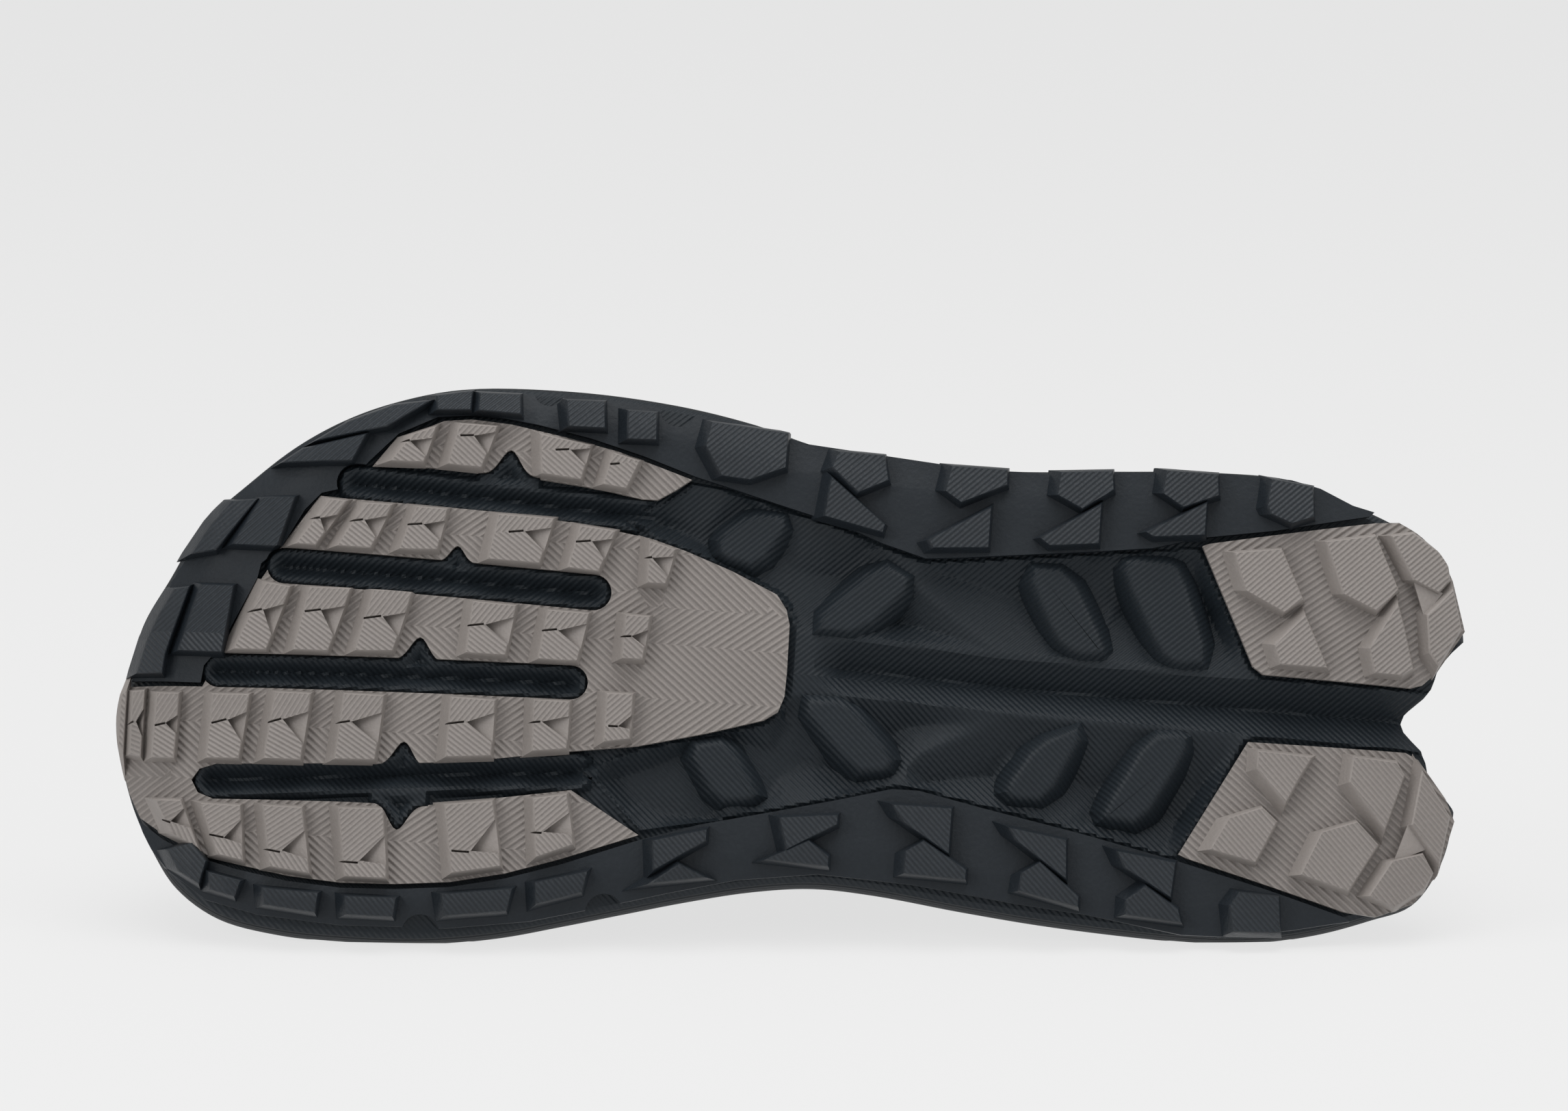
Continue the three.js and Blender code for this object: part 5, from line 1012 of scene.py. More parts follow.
INNER_RAIL_LUGS = [
    [(281, -47.8), (277.8, -52.4), (273.5, -54.8), (272.2, -50), (275.5, -46.2)],
    [(271, -52.6), (270.6, -56), (265.4, -57.2), (264.2, -54)],
    [(259, -55.2), (258.5, -58.6), (247.5, -59.6), (247, -55.6)],
    [(241, -55.8), (240.5, -59.6), (230.5, -59.4), (230, -55.6)],
    [(220, -54), (219, -58.4), (206, -56.4), (205, -51.8)],
    [(200, -50), (199.4, -54.4), (190, -51.2), (189, -46.8)],
    [(175.2, -39), (163.8, -35.8), (163.8, -38), (174.5, -45.2)],
    [(169, -43.8), (163.8, -46), (174.5, -48)],
    [(148, -32), (135.6, -30.6), (135.6, -32.4), (146, -38.6)],
    [(141.5, -36.6), (137, -39.6), (137, -41.6), (150, -41.2)],
    [(123.6, -27.4), (111, -27.4), (111, -37), (121, -31)],
    [(116.5, -34.8), (107, -40.4), (107, -42.4), (120.2, -42), (120.2, -37.2)],
    [(98, -30.6), (85.7, -32.4), (85.2, -40.6), (96, -33.4)],
    [(91, -37.6), (82.2, -44.4), (82.2, -46.4), (95, -44), (94.6, -40)],
    [(74.2, -34), (61.7, -35.6), (62.2, -43), (72.3, -37.4)],
    [(67.5, -41.2), (60.4, -45.6), (59.6, -48.2), (71.6, -47.4), (71.6, -44.5)],
    [(47, -41), (38.7, -41.4), (37.9, -48.8), (48, -49.4), (49, -44)],
]
# Round bays on the outer edge of the rails: place in hundredths, radius in millimetres
EDGE_BAYS = [((69.4, 46.8), 3.4), ((59.75, 46.4), 4.2), ((75.9, -50.3), 4.2), ((62.5, -44.9), 4.2)]


def disc(place, radius):
    angles = np.linspace(0, 2 * math.pi, 24, endpoint=False)
    return in_plan([place])[0] + radius * np.stack([np.cos(angles), np.sin(angles)], 1)


# Compression-moulded carbon-black rubber: blue-black and a little glossier than the foam, with the
# same hatch on its lugs, drawn coarser than the real one, and a fine stipple between them
dark = "#1b2025"
dark_rubber = [
    moulded("hatched_dark_rubber", "#262b30", 0.95, 46, 0.2, 0.45, 1400.0, "#3a4045", 0.28, 0.26),
    moulded("stippled_dark_rubber", dark, 1.3, 52, 0, 0.55, 1100.0, "#2e3439", 0, 0.24),
    moulded("smooth_dark_rubber", dark, 1.3, 52, 0, 0.4, 1400.0, "#33393e", 0, 0.28),
]
for name, outline, shapes, bay_rows in (
    ("outsole_lateral_rail", OUTER_RAIL, OUTER_RAIL_LUGS, EDGE_BAYS[:2]),
    ("outsole_medial_rail", INNER_RAIL, INNER_RAIL_LUGS, EDGE_BAYS[2:]),
):
    rail_openings = [disc(*row) for row in bay_rows]
    if outline is OUTER_RAIL:
        rail_openings += [channel_outline(*row, grow=0.4) for row in (CHANNELS[0], CHANNELS[2])]
    rows = [(np.array(shape), None, None) for shape in shapes]
    rail = rubber(name, in_plan(outline), rows, rail_openings, dark_rubber)


# Heel pads. Two taupe rubber pads either side of the heel groove, with pairs of hexagonal lugs;
# they reach out past the foam at the notched back. Lug outlines are in millimetres.
OUTER_PAD = [
    (15.2, 7), (16, 8.5), (20.3, 33.2), (19.8, 33.8), (7.5, 41.1), (5.6, 41.7), (4.4, 40.5), (1.7, 33.5),
    (1.2, 29), (0.2, 20), (2.2, 10.5), (3.2, 7.7), (4.1, 6.8),
]
INNER_PAD = [
    (16, -7.5), (20.6, -32.2), (20, -32.9), (8.1, -41.6), (5.6, -42.1), (2.8, -38.5), (1.1, -31.8),
    (0.1, -20.4), (0.9, -15.8), (3.2, -8.2), (4.2, -7),
]
OUTER_PAD_LUGS = [
    [(53, 33), (43, 34.5), (37.7, 24), (41.5, 21), (50, 25)],
    [(43, 13.5), (36.8, 20.3), (31.5, 9.6), (41.5, 9.6)],
    [(33, 37), (22.5, 39.2), (16.8, 28), (21, 23), (28.5, 26)],
    [(22, 14.5), (16.5, 24.5), (15, 20), (12.4, 11), (14.5, 9.4), (20.5, 9.4)],
    [(18.6, 39.6), (14, 40.6), (6.2, 36), (5.2, 31.5), (7.5, 28.5), (13, 30.5)],
    [(4.2, 29), (2, 21), (6.5, 12.6), (8.5, 15), (9.5, 23)],
]
INNER_PAD_LUGS = [
    [(50.5, -25), (43.5, -22.3), (40.3, -25), (44.3, -34), (54, -32)],
    [(45, -10), (33.5, -10.4), (36, -15), (38.5, -20.5), (45, -13.5)],
    [(30, -26.5), (22.5, -23.7), (17.7, -28.2), (23.5, -38.6), (34, -36)],
    [(24, -9.6), (14.5, -10), (12.8, -12.5), (16.3, -24.5), (24.5, -15)],
    [(8.5, -11.6), (2, -20.5), (3.6, -30.5), (10, -23)],
    [(5, -33), (6.6, -36.5), (13, -41.2), (18.6, -39.4), (14, -31.5), (7.4, -29.4)],
]
# A plain low step fills the corner between the two rearmost lugs of each pad
OUTER_STEP = [(13.6, 31.2), (6.4, 28.4), (10.4, 22.8)]
INNER_STEP = [(11.0, -22.8), (6.8, -28.2), (13.8, -31.6)]
for name, outline, shapes, step in (
    ("heel_pad_lateral", OUTER_PAD, OUTER_PAD_LUGS, OUTER_STEP),
    ("heel_pad_medial", INNER_PAD, INNER_PAD_LUGS, INNER_STEP),
):
    rows = [(np.array(shape), None, None) for shape in shapes]
    pad = rubber(name, in_plan(outline), rows, [], taupe_rubber, steps=[step])


# Upper. One black engineered-mesh skin lasted over the form of a foot, with a padded knit collar
# round the ankle; its lower edge is glued down inside the foam's rim. The padding is shaped so
# that the wall swells inwards behind the collar's edge.
INSTEP = 92
WIDEST_RISE = 15
WALL = 2.2
COLLAR_WALL = 7.2
THROAT_FRONT = 204.0
THROAT_HALF = 16.0
THROAT_BACK = 95.0
COLLAR_END = UPPER_BACK + 0.36 * UPPER_LENGTH
# Ridge of the upper over the footbed, how square its section is, and how far its crown leans
RIDGE = np.array(
    [
        (0.0, 1.25, 2.6, 0), (0.1, 1.27, 2.6, 0), (0.2, 1.22, 2.5, 0.2), (0.28, 1.13, 2.3, 0.6),
        (0.345, 1.0, 2.1, 1), (0.42, 0.88, 2.0, 1), (0.51, 0.77, 2.0, 1.2), (0.6, 0.665, 2.1, 1.4),
        (0.69, 0.57, 2.2, 1.6), (0.78, 0.485, 2.3, 1.8), (0.86, 0.42, 2.4, 2), (0.93, 0.345, 2.4, 2),
        (0.97, 0.265, 2.4, 2), (0.99, 0.19, 2.3, 2), (1.0, 0.12, 2.2, 2),
    ]
)
HEEL_PROFILE = [(0.0, 0.5), (0.15, 0.05), (0.3, 0), (0.5, 0.45), (0.68, 0.9), (0.8, 0.75), (0.95, 0.3)]
# Height of the collar over the footbed along the upper, in millimetres
COLLAR = [
    (-0.06, 79), (0.01, 79), (0.05, 75.35), (0.1, 66.4), (0.155, 59.3), (0.2, 57), (0.245, 60.65),
    (0.29, 73.5), (0.335, 83.9), (0.36, 85),
]
ridge_at, square_at, crown_at = (curve(RIDGE[:, 0], RIDGE[:, k]) for k in (1, 2, 3))
heel_forward = curve(*zip(*HEEL_PROFILE))
collar_rise = curve(*zip(*COLLAR))


breadths = {}


def seat(x):
    return footbed(x) + 0.3


def upper_share(x):
    return np.clip((x - UPPER_BACK) / UPPER_LENGTH, 0, 1)


def section(x, grow=0.0):
    """The upper's section at places along it, grown outwards: edges, crown, heights, squareness."""
    if grow not in breadths:
        loop = upper_loop if grow == 0 else grown(upper_loop, grow)
        fine = (1 - np.cos(np.linspace(0, math.pi, 500))) / 2
        fine = loop[:, 0].min() + np.ptp(loop[:, 0]) * np.clip(fine, 1e-5, 1 - 1e-5)
        breadths[grow] = (fine, np.array([edges_at(loop, place) for place in fine]))
    fine, edges = breadths[grow]
    low, high = fine[0], fine[-1]
    inner, outer = (np.interp(x, fine, edges[:, k]) for k in (0, 1))
    at = np.clip((x - low) / (high - low), 0, 1)
    lean = 4 * crown_at(at) * np.minimum(1, (outer - inner) / 50)
    rise = INSTEP * ridge_at(at)
    widest = seat(x) + np.minimum(WIDEST_RISE, 0.6 * rise)
    crown = (inner + outer) / 2 - lean
    return inner, outer, crown, seat(x) - grow, widest, seat(x) + rise + grow, square_at(at)


def warped(points):
    """Leans the back of the upper into the heel's curve."""
    x, z = points[..., 0], points[..., 2]
    fade = 1 - smooth(upper_share(x) / 0.35)
    moved = points.copy()
    moved[..., 0] = x + 5 * heel_forward((z - seat(x)) / INSTEP) * fade
    return moved


def skin(x, share, side, grow=0.0):
    """Places on the upper: share -1 at its lower edge, 0 at its widest and 1 at its crown."""
    inner, outer, crown, base, widest, ridge, square = section(x, grow)
    edge = outer if side > 0 else inner
    turn = np.clip(share, 0, 1) * math.pi / 2
    over = crown + (edge - crown) * np.cos(turn) ** (2 / square)
    up = widest + (ridge - widest) * np.sin(turn) ** (2 / square)
    under = np.clip(-share, 0, 1)
    middle = (inner + outer) / 2
    beneath = middle + (edge - middle) * (1 - 0.2 * under**2.2)
    down = widest + (base - widest) * np.sin(under * math.pi / 2)
    y, z = np.where(share >= 0, over, beneath), np.where(share >= 0, up, down)
    return warped(np.stack([x, y, z], -1))


def share_at_height(x, z, grow=0.0):
    _, _, _, base, widest, ridge, square = section(x, grow)
    rise = np.clip((z - widest) / (ridge - widest), 0, 1)
    fall = np.clip((widest - z) / (widest - base), 0, 1)
    return (np.arcsin(rise ** (square / 2)) - np.arcsin(fall)) * 2 / math.pi


def share_at_reach(x, reach, side, grow=0.0):
    inner, outer, crown, _, _, _, square = section(x, grow)
    half = np.maximum(np.abs((outer if side > 0 else inner) - crown), 1e-6)
    return np.arccos(np.clip(reach / half, 0, 1) ** (square / 2)) * 2 / math.pi


def round_ended(x, half):
    """Half breadth of the throat, or a band around it, which ends in an arc at the front."""
    past = np.clip(x - (THROAT_FRONT - THROAT_HALF), 0, half)
    return np.sqrt(half**2 - past**2)


def bridged(sheets, ends):
    """Two sheets, one on either side of the upper, with strips that join them at some ends."""
    rows = sheets[0].shape[1]
    faces = grid_faces(len(sheets[0]), rows, 0)
    solids = [(sheets[0].reshape(-1, 3), faces), (sheets[1].reshape(-1, 3), [face[::-1] for face in faces])]
    for end in ends:
        strip = np.stack([sheets[1][end], sheets[0][end]])
        solids.append((strip.reshape(-1, 3), grid_faces(2, rows, 0)))
    return solids


def two_sided(name, x, low, high, rows, grow=0.0, ends=()):
    """A sheet on the upper between two limits on either side, joined where they meet."""
    sheets = []
    for side in (1, -1):
        down, up = low(x, side), high(x, side)
        down = np.minimum(down, up)
        steps = np.linspace(0, 1, rows + 1)[None]
        share = down[:, None] * (1 - steps) + up[:, None] * steps
        along = np.repeat(x[:, None], rows + 1, 1)
        sheets.append(skin(along, share, side, grow))
    return welded(new_object(name, bridged(sheets, ends)), 1e-3)


def thickened(piece, thickness, share_of=None, edge=0.0):
    """Gives a sheet its wall, thinner where the share at a place is less than one."""
    change = piece.modifiers.new("wall", "SOLIDIFY")
    change.thickness, change.offset = thickness, -1
    if share_of is not None:
        group = piece.vertex_groups.new(name="wall")
        points, _, _ = corners_of(piece.data)
        for index, share in enumerate(share_of(points)):
            group.add([index], float(share), "REPLACE")
        change.vertex_group = "wall"
    if edge:
        bevel = piece.modifiers.new("edge", "BEVEL")
        bevel.width, bevel.segments, bevel.angle_limit = edge, 2, math.radians(50)
    applied(piece)
    piece.vertex_groups.clear()
    return piece


def draped(piece, materials, kinds=None, sharp=40):
    """Maps a piece of the upper in millimetres by length and girth, then lays it in the frame."""
    points, vertex, _ = corners_of(piece.data)
    crown = section(points[:, 0])[2]
    girth = 50 * np.arctan2(points[:, 1] - crown, points[:, 2] - seat(points[:, 0]) + 25)
    flat = np.stack([points[:, 0], girth], 1)[vertex]
    if kinds is None:
        kinds = np.zeros(len(piece.data.polygons), int)
    finished(piece, in_frame(points), kinds, materials, flat, sharp)
    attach(piece, "root")
    return piece


def fabric(name, colour, light, warp, weft, relief, roughness):
    """Cloth of threads that cross in rows; warp and weft are the thread spacings."""
    material, tree = new_material(name)
    coordinates = add(tree, "ShaderNodeUVMap", uv_map="millimetres").outputs[0]
    split = add(tree, "ShaderNodeSeparateXYZ", {"Vector": coordinates})
    waves = []
    for socket, spacing in ((0, warp), (1, weft)):
        turn = add(tree, "ShaderNodeMath", {0: split.outputs[socket]}, operation="MULTIPLY")
        turn.inputs[1].default_value = 2 * math.pi / spacing
        waves.append(add(tree, "ShaderNodeMath", {0: turn.outputs[0]}, operation="SINE"))
    crossed = add(tree, "ShaderNodeMath", {0: waves[0].outputs[0],
        1: waves[1].outputs[0]}, operation="MULTIPLY")
    level = add(tree, "ShaderNodeMapRange", {"Value": crossed.outputs[0]}, From_Min=-1.0)
    place = add(tree, "ShaderNodeTexCoord").outputs["Object"]
    cloud = add(tree, "ShaderNodeTexNoise", {"Vector": place}, Scale=70.0, Detail=4.0)
    fuzz = add(tree, "ShaderNodeTexNoise", {"Vector": place}, Scale=1500.0, Detail=2.0)
    # The colour runs from the dark one in the valleys to the light one on the raised crossings: painted
    # highlight on the threads and painted shade between them.
    tint = add(tree, "ShaderNodeMix", {"Factor": level.outputs[0]}, data_type="RGBA")
    tint.inputs[6].default_value = linear(colour)
    tint.inputs[7].default_value = linear(light)
    tone = add(tree, "ShaderNodeMapRange", {"Value": cloud.outputs[0]}, To_Min=0.88, To_Max=1.12)
    toned = add(tree, "ShaderNodeVectorMath", {0: tint.outputs[2]}, operation="SCALE")
    tree.links.new(tone.outputs[0], toned.inputs["Scale"])
    weave = add(tree, "ShaderNodeBump", {"Height": level.outputs[0]}, Distance=relief / 1000)
    nap = add(tree, "ShaderNodeBump", {"Height": fuzz.outputs[0],
        "Normal": weave.outputs[0]}, Distance=0.0001)
    shader = add(
        tree,
        "ShaderNodeBsdfPrincipled",
        {"Base Color": toned.outputs[0], "Normal": nap.outputs[0]},
        Roughness=roughness,
        Sheen_Weight=0.15,
        Specular_IOR_Level=0.2,
    )
    add(tree, "ShaderNodeOutputMaterial", {"Surface": shader.outputs[0]})
    return material


# Polyester yarn, knitted as engineered mesh: dull and dark, with rows of small open cells. They are
# about 1 mm apart in the real one and drawn at 1.5 by 1.7 so that they show
engineered_mesh = fabric("engineered_mesh", "#14171a", "#2a2e32", 1.5, 1.7, 0.35, 0.85)
# Polyester knit, brushed: a lighter, quite dull nap that hides its stitches, 0.9 mm apart
brushed_lining = fabric("brushed_knit_lining", "#1c1f22", "#2c3034", 0.9, 0.9, 0.12, 0.95)


def top_limit(x, side):
    collar = share_at_height(x, seat(x) + collar_rise((x - UPPER_BACK) / UPPER_LENGTH))
    collar = np.where(x < COLLAR_END, collar, 1.0)
    throat = share_at_reach(x, round_ended(x, THROAT_HALF), side)
    return np.minimum(collar, np.where((x > THROAT_BACK) & (x < THROAT_FRONT), throat, 1.0))


def wall_share(points):
    x, y, z = points.T
    collar = seat(x) + collar_rise((x - UPPER_BACK) / UPPER_LENGTH)
    below = smooth((z - collar + 34) / 16)
    behind = 1 - smooth((upper_share(x) - 0.13) / 0.12)
    return (WALL + (COLLAR_WALL - WALL) * below * behind) / COLLAR_WALL


EYELET_RADIUS, EYELET_CUT = 2.3, 6


def eyelet_holes():
    """Solids to punch the eyelets, square to the upper."""
    holes = []
    for x, y in EYELETS:
        normal = np.array([-slope(x, y, 0), -slope(x, y, 1), 1.0])
        normal /= np.linalg.norm(normal)
        first = np.cross(normal, [0, 1, 0])
        first /= np.linalg.norm(first)
        second = np.cross(normal, first)
        angles = np.linspace(0, 2 * math.pi, 20, endpoint=False)[:, None]
        ring = EYELET_RADIUS * (np.cos(angles) * first + np.sin(angles) * second)
        middle = warped(np.array([x, y, top_at(x, y)]))
        sides = [tuple(range(20))[::-1], tuple(range(20, 40))]
        sides += [(i, (i + 1) % 20, (i + 1) % 20 + 20, i + 20) for i in range(20)]
        ends = [ring + middle + way * EYELET_CUT * normal for way in (-1, 1)]
        holes.append((np.vstack(ends), sides))
    return holes


def top_at(x, y):
    """Height of the upper's outside at a place in plan."""
    inner, outer, crown, _, widest, ridge, square = section(np.asarray(x, float))
    half = np.where(y >= crown, outer - crown, crown - inner)
    out = np.clip(np.abs(y - crown) / half, 0, 1)
    return widest + (ridge - widest) * (1 - out**square) ** (1 / square)


def slope(x, y, axis, step=2.0):
    ahead, behind = np.array([x, y], float), np.array([x, y], float)
    ahead[axis] += step
    behind[axis] -= step
    return float(top_at(*ahead) - top_at(*behind)) / (2 * step)


EYELET_ROWS = np.linspace(THROAT_FRONT - THROAT_HALF, COLLAR_END + 4.6, 5)
EYELET_REACH = THROAT_HALF + 6
crowns = section(EYELET_ROWS)[2]
EYELETS = [(x, c + s * EYELET_REACH) for x, c in zip(EYELET_ROWS, crowns) for s in (1, -1)]

length = UPPER_BACK + UPPER_LENGTH * stations(150)
places = np.unique(np.r_[length, np.linspace(187, THROAT_FRONT, 14), THROAT_BACK + 0.01, COLLAR_END])
upper = two_sided(
    "upper_shell", places, lambda x, side: np.full(len(x), -1.0), top_limit, 44, ends=(0, -1)
)
thickened(upper, COLLAR_WALL, wall_share, 0.8)
combine(upper, "DIFFERENCE", eyelet_holes())
points, _, _ = corners_of(upper.data)
normal, centre = face_values(upper.data)
away = centre[:, 1:2] - section(centre[:, 0])[2][:, None]
inwards = (normal[:, 1:2] * away)[:, 0] + normal[:, 2] * (centre[:, 2] - 40) < 0
draped(upper, [engineered_mesh, brushed_lining], inwards)
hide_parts("upper")


# Insole. A moulded foam footbed under brushed knit, lying loose on the bottom of the upper.
bed_sides = [both_sides(grown(upper_loop, inset), stations(90)) for inset in (-9.0, -4.4, -3.4, -3.6, -5.0)]
rings = [ring_at(sides, sides, 0, FROM_BED + h) for sides, h in zip(bed_sides[1:4], (4.2, 6.0, 7.6))]
bottom = sheet_across(bed_sides[0], 14)
bottom = np.concatenate([bottom, np.full(bottom.shape[:2] + (1,), FROM_BED + 3.1)], 2)
top = sheet_across(bed_sides[4], 14)
dish = 0.9 * np.abs(np.linspace(-1, 1, 15)) ** 2
top = np.concatenate([top, FROM_BED + 7.6 + np.repeat(dish[None, :, None], len(top), 0)], 2)
insole = welded(new_object("insole_bed", [closed_between(bottom, rings, top)]))
points, vertex, _ = corners_of(insole.data)
level = footbed(points[:, 0]) + points[:, 2] - FROM_BED
lifted = warped(np.column_stack([points[:, :2], level]))
finished(
    insole, in_frame(lifted), np.zeros(len(insole.data.polygons), int), [brushed_lining], points[vertex, :2]
)
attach(insole, "root")
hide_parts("insole")


# Overlays. Eyestay, toe cap and heel counter of tough welded film, bonded over the mesh with
# soft rounded edges; the eyelets are punched through the eyestay.
FILM = 1.2
FILM_FACE = 1.5
# Polyurethane film, embossed and welded on by heat: smoother than the mesh, so that its edges catch
# a soft satin light; its fine grain lines are 1 mm apart
film = moulded("textured_welded_film", "#181c20", 1.0, 45, 0.06, 0.42, 900.0, "#2b3036", 0.08, 0.3)


def band_low(x, side):
    return share_at_reach(x, round_ended(x, THROAT_HALF + 15), side, FILM_FACE)


def band_high(x, side):
    collar = share_at_height(x, seat(x) + collar_rise((x - UPPER_BACK) / UPPER_LENGTH), FILM_FACE)
    collar = np.where(x < COLLAR_END, collar, 1.0)
    throat = share_at_reach(x, round_ended(x, THROAT_HALF), side, FILM_FACE)
    return np.minimum(collar, np.where(x < THROAT_FRONT, throat, 1.0))


def above_rim(x):
    return share_at_height(x, rim_height(x) + 1.4, FILM_FACE)


places = np.unique(np.r_[np.linspace(97, 187, 60), np.linspace(187, 218.9, 34), COLLAR_END, THROAT_FRONT])
eyestay = two_sided("eyestay_film", places, band_low, band_high, 12, FILM_FACE)
thickened(eyestay, FILM, None, 0.35)
combine(eyestay, "DIFFERENCE", eyelet_holes())
draped(eyestay, [film])
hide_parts("eyestay")


def film_patch(name, start, end, low, high, join, rows=26):
    """A patch of film whose ends along the shoe change with its height."""
    sheets = []
    steps = np.linspace(0, 1, rows + 1)
    for side in (1, -1):
        first, last = start(side, steps), end(side, steps)
        along = first[None] + (last - first)[None] * stations(40)[:, None]
        down, up = low(along), high(along)
        share = np.minimum(down, up) * (1 - steps) + up * steps
        sheets.append(skin(along, share, side, FILM_FACE))
    patch = welded(new_object(name, bridged(sheets, [join])), 1e-3)
    thickened(patch, FILM, None, 0.35)
    draped(patch, [film])
    return patch


UPPER_FRONT = UPPER_BACK + UPPER_LENGTH
toe_cap = film_patch(
    "toe_cap_film",
    lambda side, step: UPPER_FRONT - 21 - (16 if side > 0 else 7) * (1 - step) ** 1.5,
    lambda side, step: np.full(len(step), UPPER_FRONT + FILM_FACE - 0.05),
    above_rim,
    lambda x: np.ones_like(x),
    -1,
)
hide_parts("toe_cap")


def counter_top(x):
    height = 74 - 25 * smooth((x - 36) / 40)
    collar = seat(x) + collar_rise((x - UPPER_BACK) / UPPER_LENGTH) - 3
    return share_at_height(x, np.minimum(height, collar), FILM_FACE)


counter = film_patch(
    "heel_counter_film",
    lambda side, step: np.full(len(step), UPPER_BACK - FILM_FACE + 0.05),
    lambda side, step: 76 + 2 * np.cos(step * math.pi),
    above_rim,
    counter_top,
    0,
)
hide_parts("heel_counter")


# Tongue. A padded mesh tongue that lies under the throat and stands up above the collar; its
# padding swells between two stitched-down channels.
TONGUE_HALF = 23.0
TONGUE_SKIN = -2.5


def tongue_low(x, side):
    return share_at_reach(x, round_ended(x, TONGUE_HALF), side, TONGUE_SKIN)


places = np.unique(np.r_[np.linspace(84, 188, 80), np.linspace(188, 210.9, 22)])
tongue = two_sided("padded_tongue", places, tongue_low, lambda x, side: np.ones(len(x)), 16, TONGUE_SKIN)


def tongue_share(points):
    x, y, _ = points.T
    off = np.abs(y - section(x, TONGUE_SKIN)[2])
    channel = np.exp(-(((off - 8) / 1.3) ** 2)) + np.exp(-(((off - 19) / 1.3) ** 2))
    return 1 - 0.5 * np.clip(channel, 0, 1) * smooth((200 - x) / 12)


thickened(tongue, 4.0, tongue_share, 0.7)
draped(tongue, [engineered_mesh])
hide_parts("tongue")


# Laces. One flat woven cord, crossed over the throat row by row, each run folded narrower where
# it dives into an eyelet.
LACE_WIDTH, LACE_THICKNESS = 6.0, 1.5
LACE_RISE = 3.9


def ribbon(path, sides, widths, thickness, first=0):
    """A flat band with rounded edges along a path, and its map in millimetres."""
    path = np.asarray(path, float)
    along = np.gradient(path, axis=0)
    along /= np.linalg.norm(along, axis=1)[:, None]
    across = sides - (sides * along).sum(1)[:, None] * along
    across /= np.linalg.norm(across, axis=1)[:, None]
    up = np.cross(across, along)
    angles = np.linspace(0, 2 * math.pi, 14, endpoint=False)
    flatness = np.sign(np.cos(angles)) * np.abs(np.cos(angles)) ** 0.5
    height = np.sign(np.sin(angles)) * np.abs(np.sin(angles)) ** 0.6
    rings = (
        path[:, None]
        + across[:, None] * (np.asarray(widths)[:, None, None] / 2 * flatness[None, :, None])
        + up[:, None] * (thickness / 2 * height[None, :, None])
    )
    count = len(angles)
    faces = [tuple(range(count))[::-1], tuple(range((len(path) - 1) * count, len(path) * count))]
    for ring in range(len(path) - 1):
        for i in range(count):
            a, b = ring * count + i, ring * count + (i + 1) % count
            faces.append((a, b, b + count, a + count))
    run = np.r_[0, np.cumsum(np.linalg.norm(np.diff(path, axis=0), axis=1))]
    chart = np.stack(
        [np.repeat(run[:, None], count, 1), np.asarray(widths)[:, None] / 2 * flatness[None]], -1
    )
    return rings.reshape(-1, 3), faces, chart.reshape(-1, 2)


def strap_piece(name, bands, material):
    """One object of several bands."""
    piece = new_object(name, [band[:2] for band in bands])
    mesh = piece.data
    points, vertex, _ = corners_of(mesh)
    chart = np.vstack([band[2] for band in bands])[vertex]
    finished(piece, in_frame(points), np.zeros(len(mesh.polygons), int), [material], chart, 50)
    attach(piece, "root")
    return piece


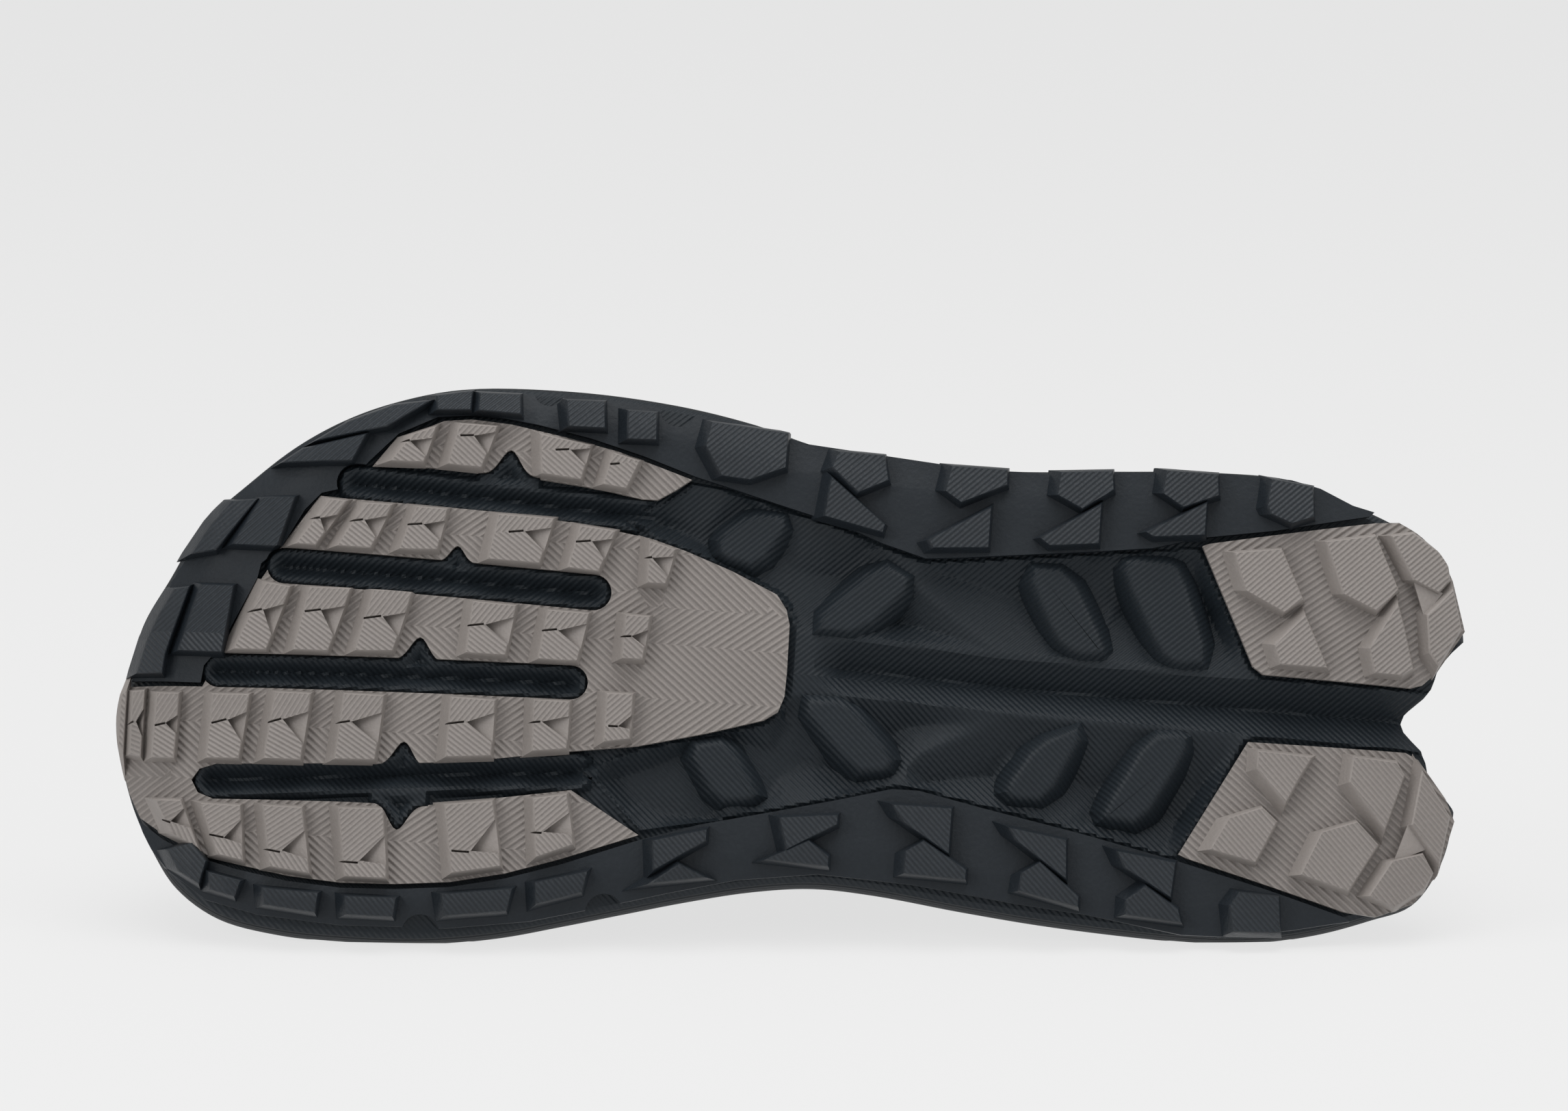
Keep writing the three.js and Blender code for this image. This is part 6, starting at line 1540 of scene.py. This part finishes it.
def lace_run(start, end, hump):
    share = np.linspace(-0.05, 1.05, 34)
    x = start[0] + (end[0] - start[0]) * share
    y = start[1] + (end[1] - start[1]) * share
    top = np.array([float(top_at(a, b)) for a, b in zip(x, y)])
    lean = np.array([math.hypot(1, slope(a, b, 1)) for a, b in zip(x, y)])
    inside_run = smooth((0.5 - np.abs(share - 0.5)) / 0.07 + 0.55)
    rise = LACE_RISE * lean * inside_run - 3.0 * (1 - inside_run)
    path = warped(np.stack([x, y, top + rise + hump * np.sin(np.pi * np.clip(share, 0, 1)) ** 2], 1))
    sides = np.stack([np.ones(34), np.zeros(34), [slope(a, b, 0) for a, b in zip(x, y)]], 1)
    widths = 2.6 + (LACE_WIDTH - 2.6) * smooth((0.5 - np.abs(share - 0.5)) / 0.12)
    return ribbon(path, sides, widths, LACE_THICKNESS)


# Polyester lace, woven flat: small crossings of thread with little sheen, about 0.8 mm apart and
# drawn at 1.2 so that they show
lace_weave = fabric("flat_woven_lace", "#1b1e21", "#3b4045", 1.2, 1.2, 0.3, 0.8)
outer_holes, inner_holes = EYELETS[::2], EYELETS[1::2]
runs = [lace_run(outer_holes[0], inner_holes[0], 0)]
for row in range(4):
    runs.append(lace_run(outer_holes[row], inner_holes[row + 1], 0))
    runs.append(lace_run(inner_holes[row], outer_holes[row + 1], 1.9))
laces = strap_piece("crossed_laces", runs, lace_weave)
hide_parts("laces")


# Pull loop. A doubled amber webbing tape, sewn inside and outside the back of the collar.
LOOP_PATH = [(0, -1), (0, 0), (0.03, 0.6), (0.25, 0.95), (0.57, 1), (0.89, 0.75), (1, 0.3), (1, 0), (1, -1)]
LOOP_RISE, LOOP_WIDTH, LOOP_THICKNESS = 13.0, 12.0, 1.6
loop_base = float(seat(UPPER_BACK)) + 79
outside = 0.6 + LOOP_THICKNESS / 2
corners = []
for way_in, way_up in LOOP_PATH:
    z = loop_base + LOOP_RISE * way_up
    back = warped(np.array([UPPER_BACK, 0.0, min(z, loop_base)]))[0]
    corners.append((back - outside + (outside + COLLAR_WALL + 3 * outside) * way_in, 0.0, z))
corners = np.array(corners)
knots = np.r_[0, np.cumsum(np.linalg.norm(np.diff(corners, axis=0), axis=1))]
fine = np.linspace(0, knots[-1], 60)
path = np.stack([curve(knots, corners[:, 0])(fine), np.zeros(60), curve(knots, corners[:, 2])(fine)], 1)
# Nylon webbing, woven: amber, with painted highlight making its ridges bright and painted shade darkening
# the valleys between the threads
tape = fabric("amber_webbing_tape", "#b87c10", "#f0b026", 1.3, 0.9, 0.3, 0.75)
pull_loop = strap_piece(
    "webbing_pull_loop",
    [ribbon(path, np.tile([0.0, 1.0, 0.0], (60, 1)), np.full(60, LOOP_WIDTH), LOOP_THICKNESS)],
    tape,
)
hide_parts("pull_loop")
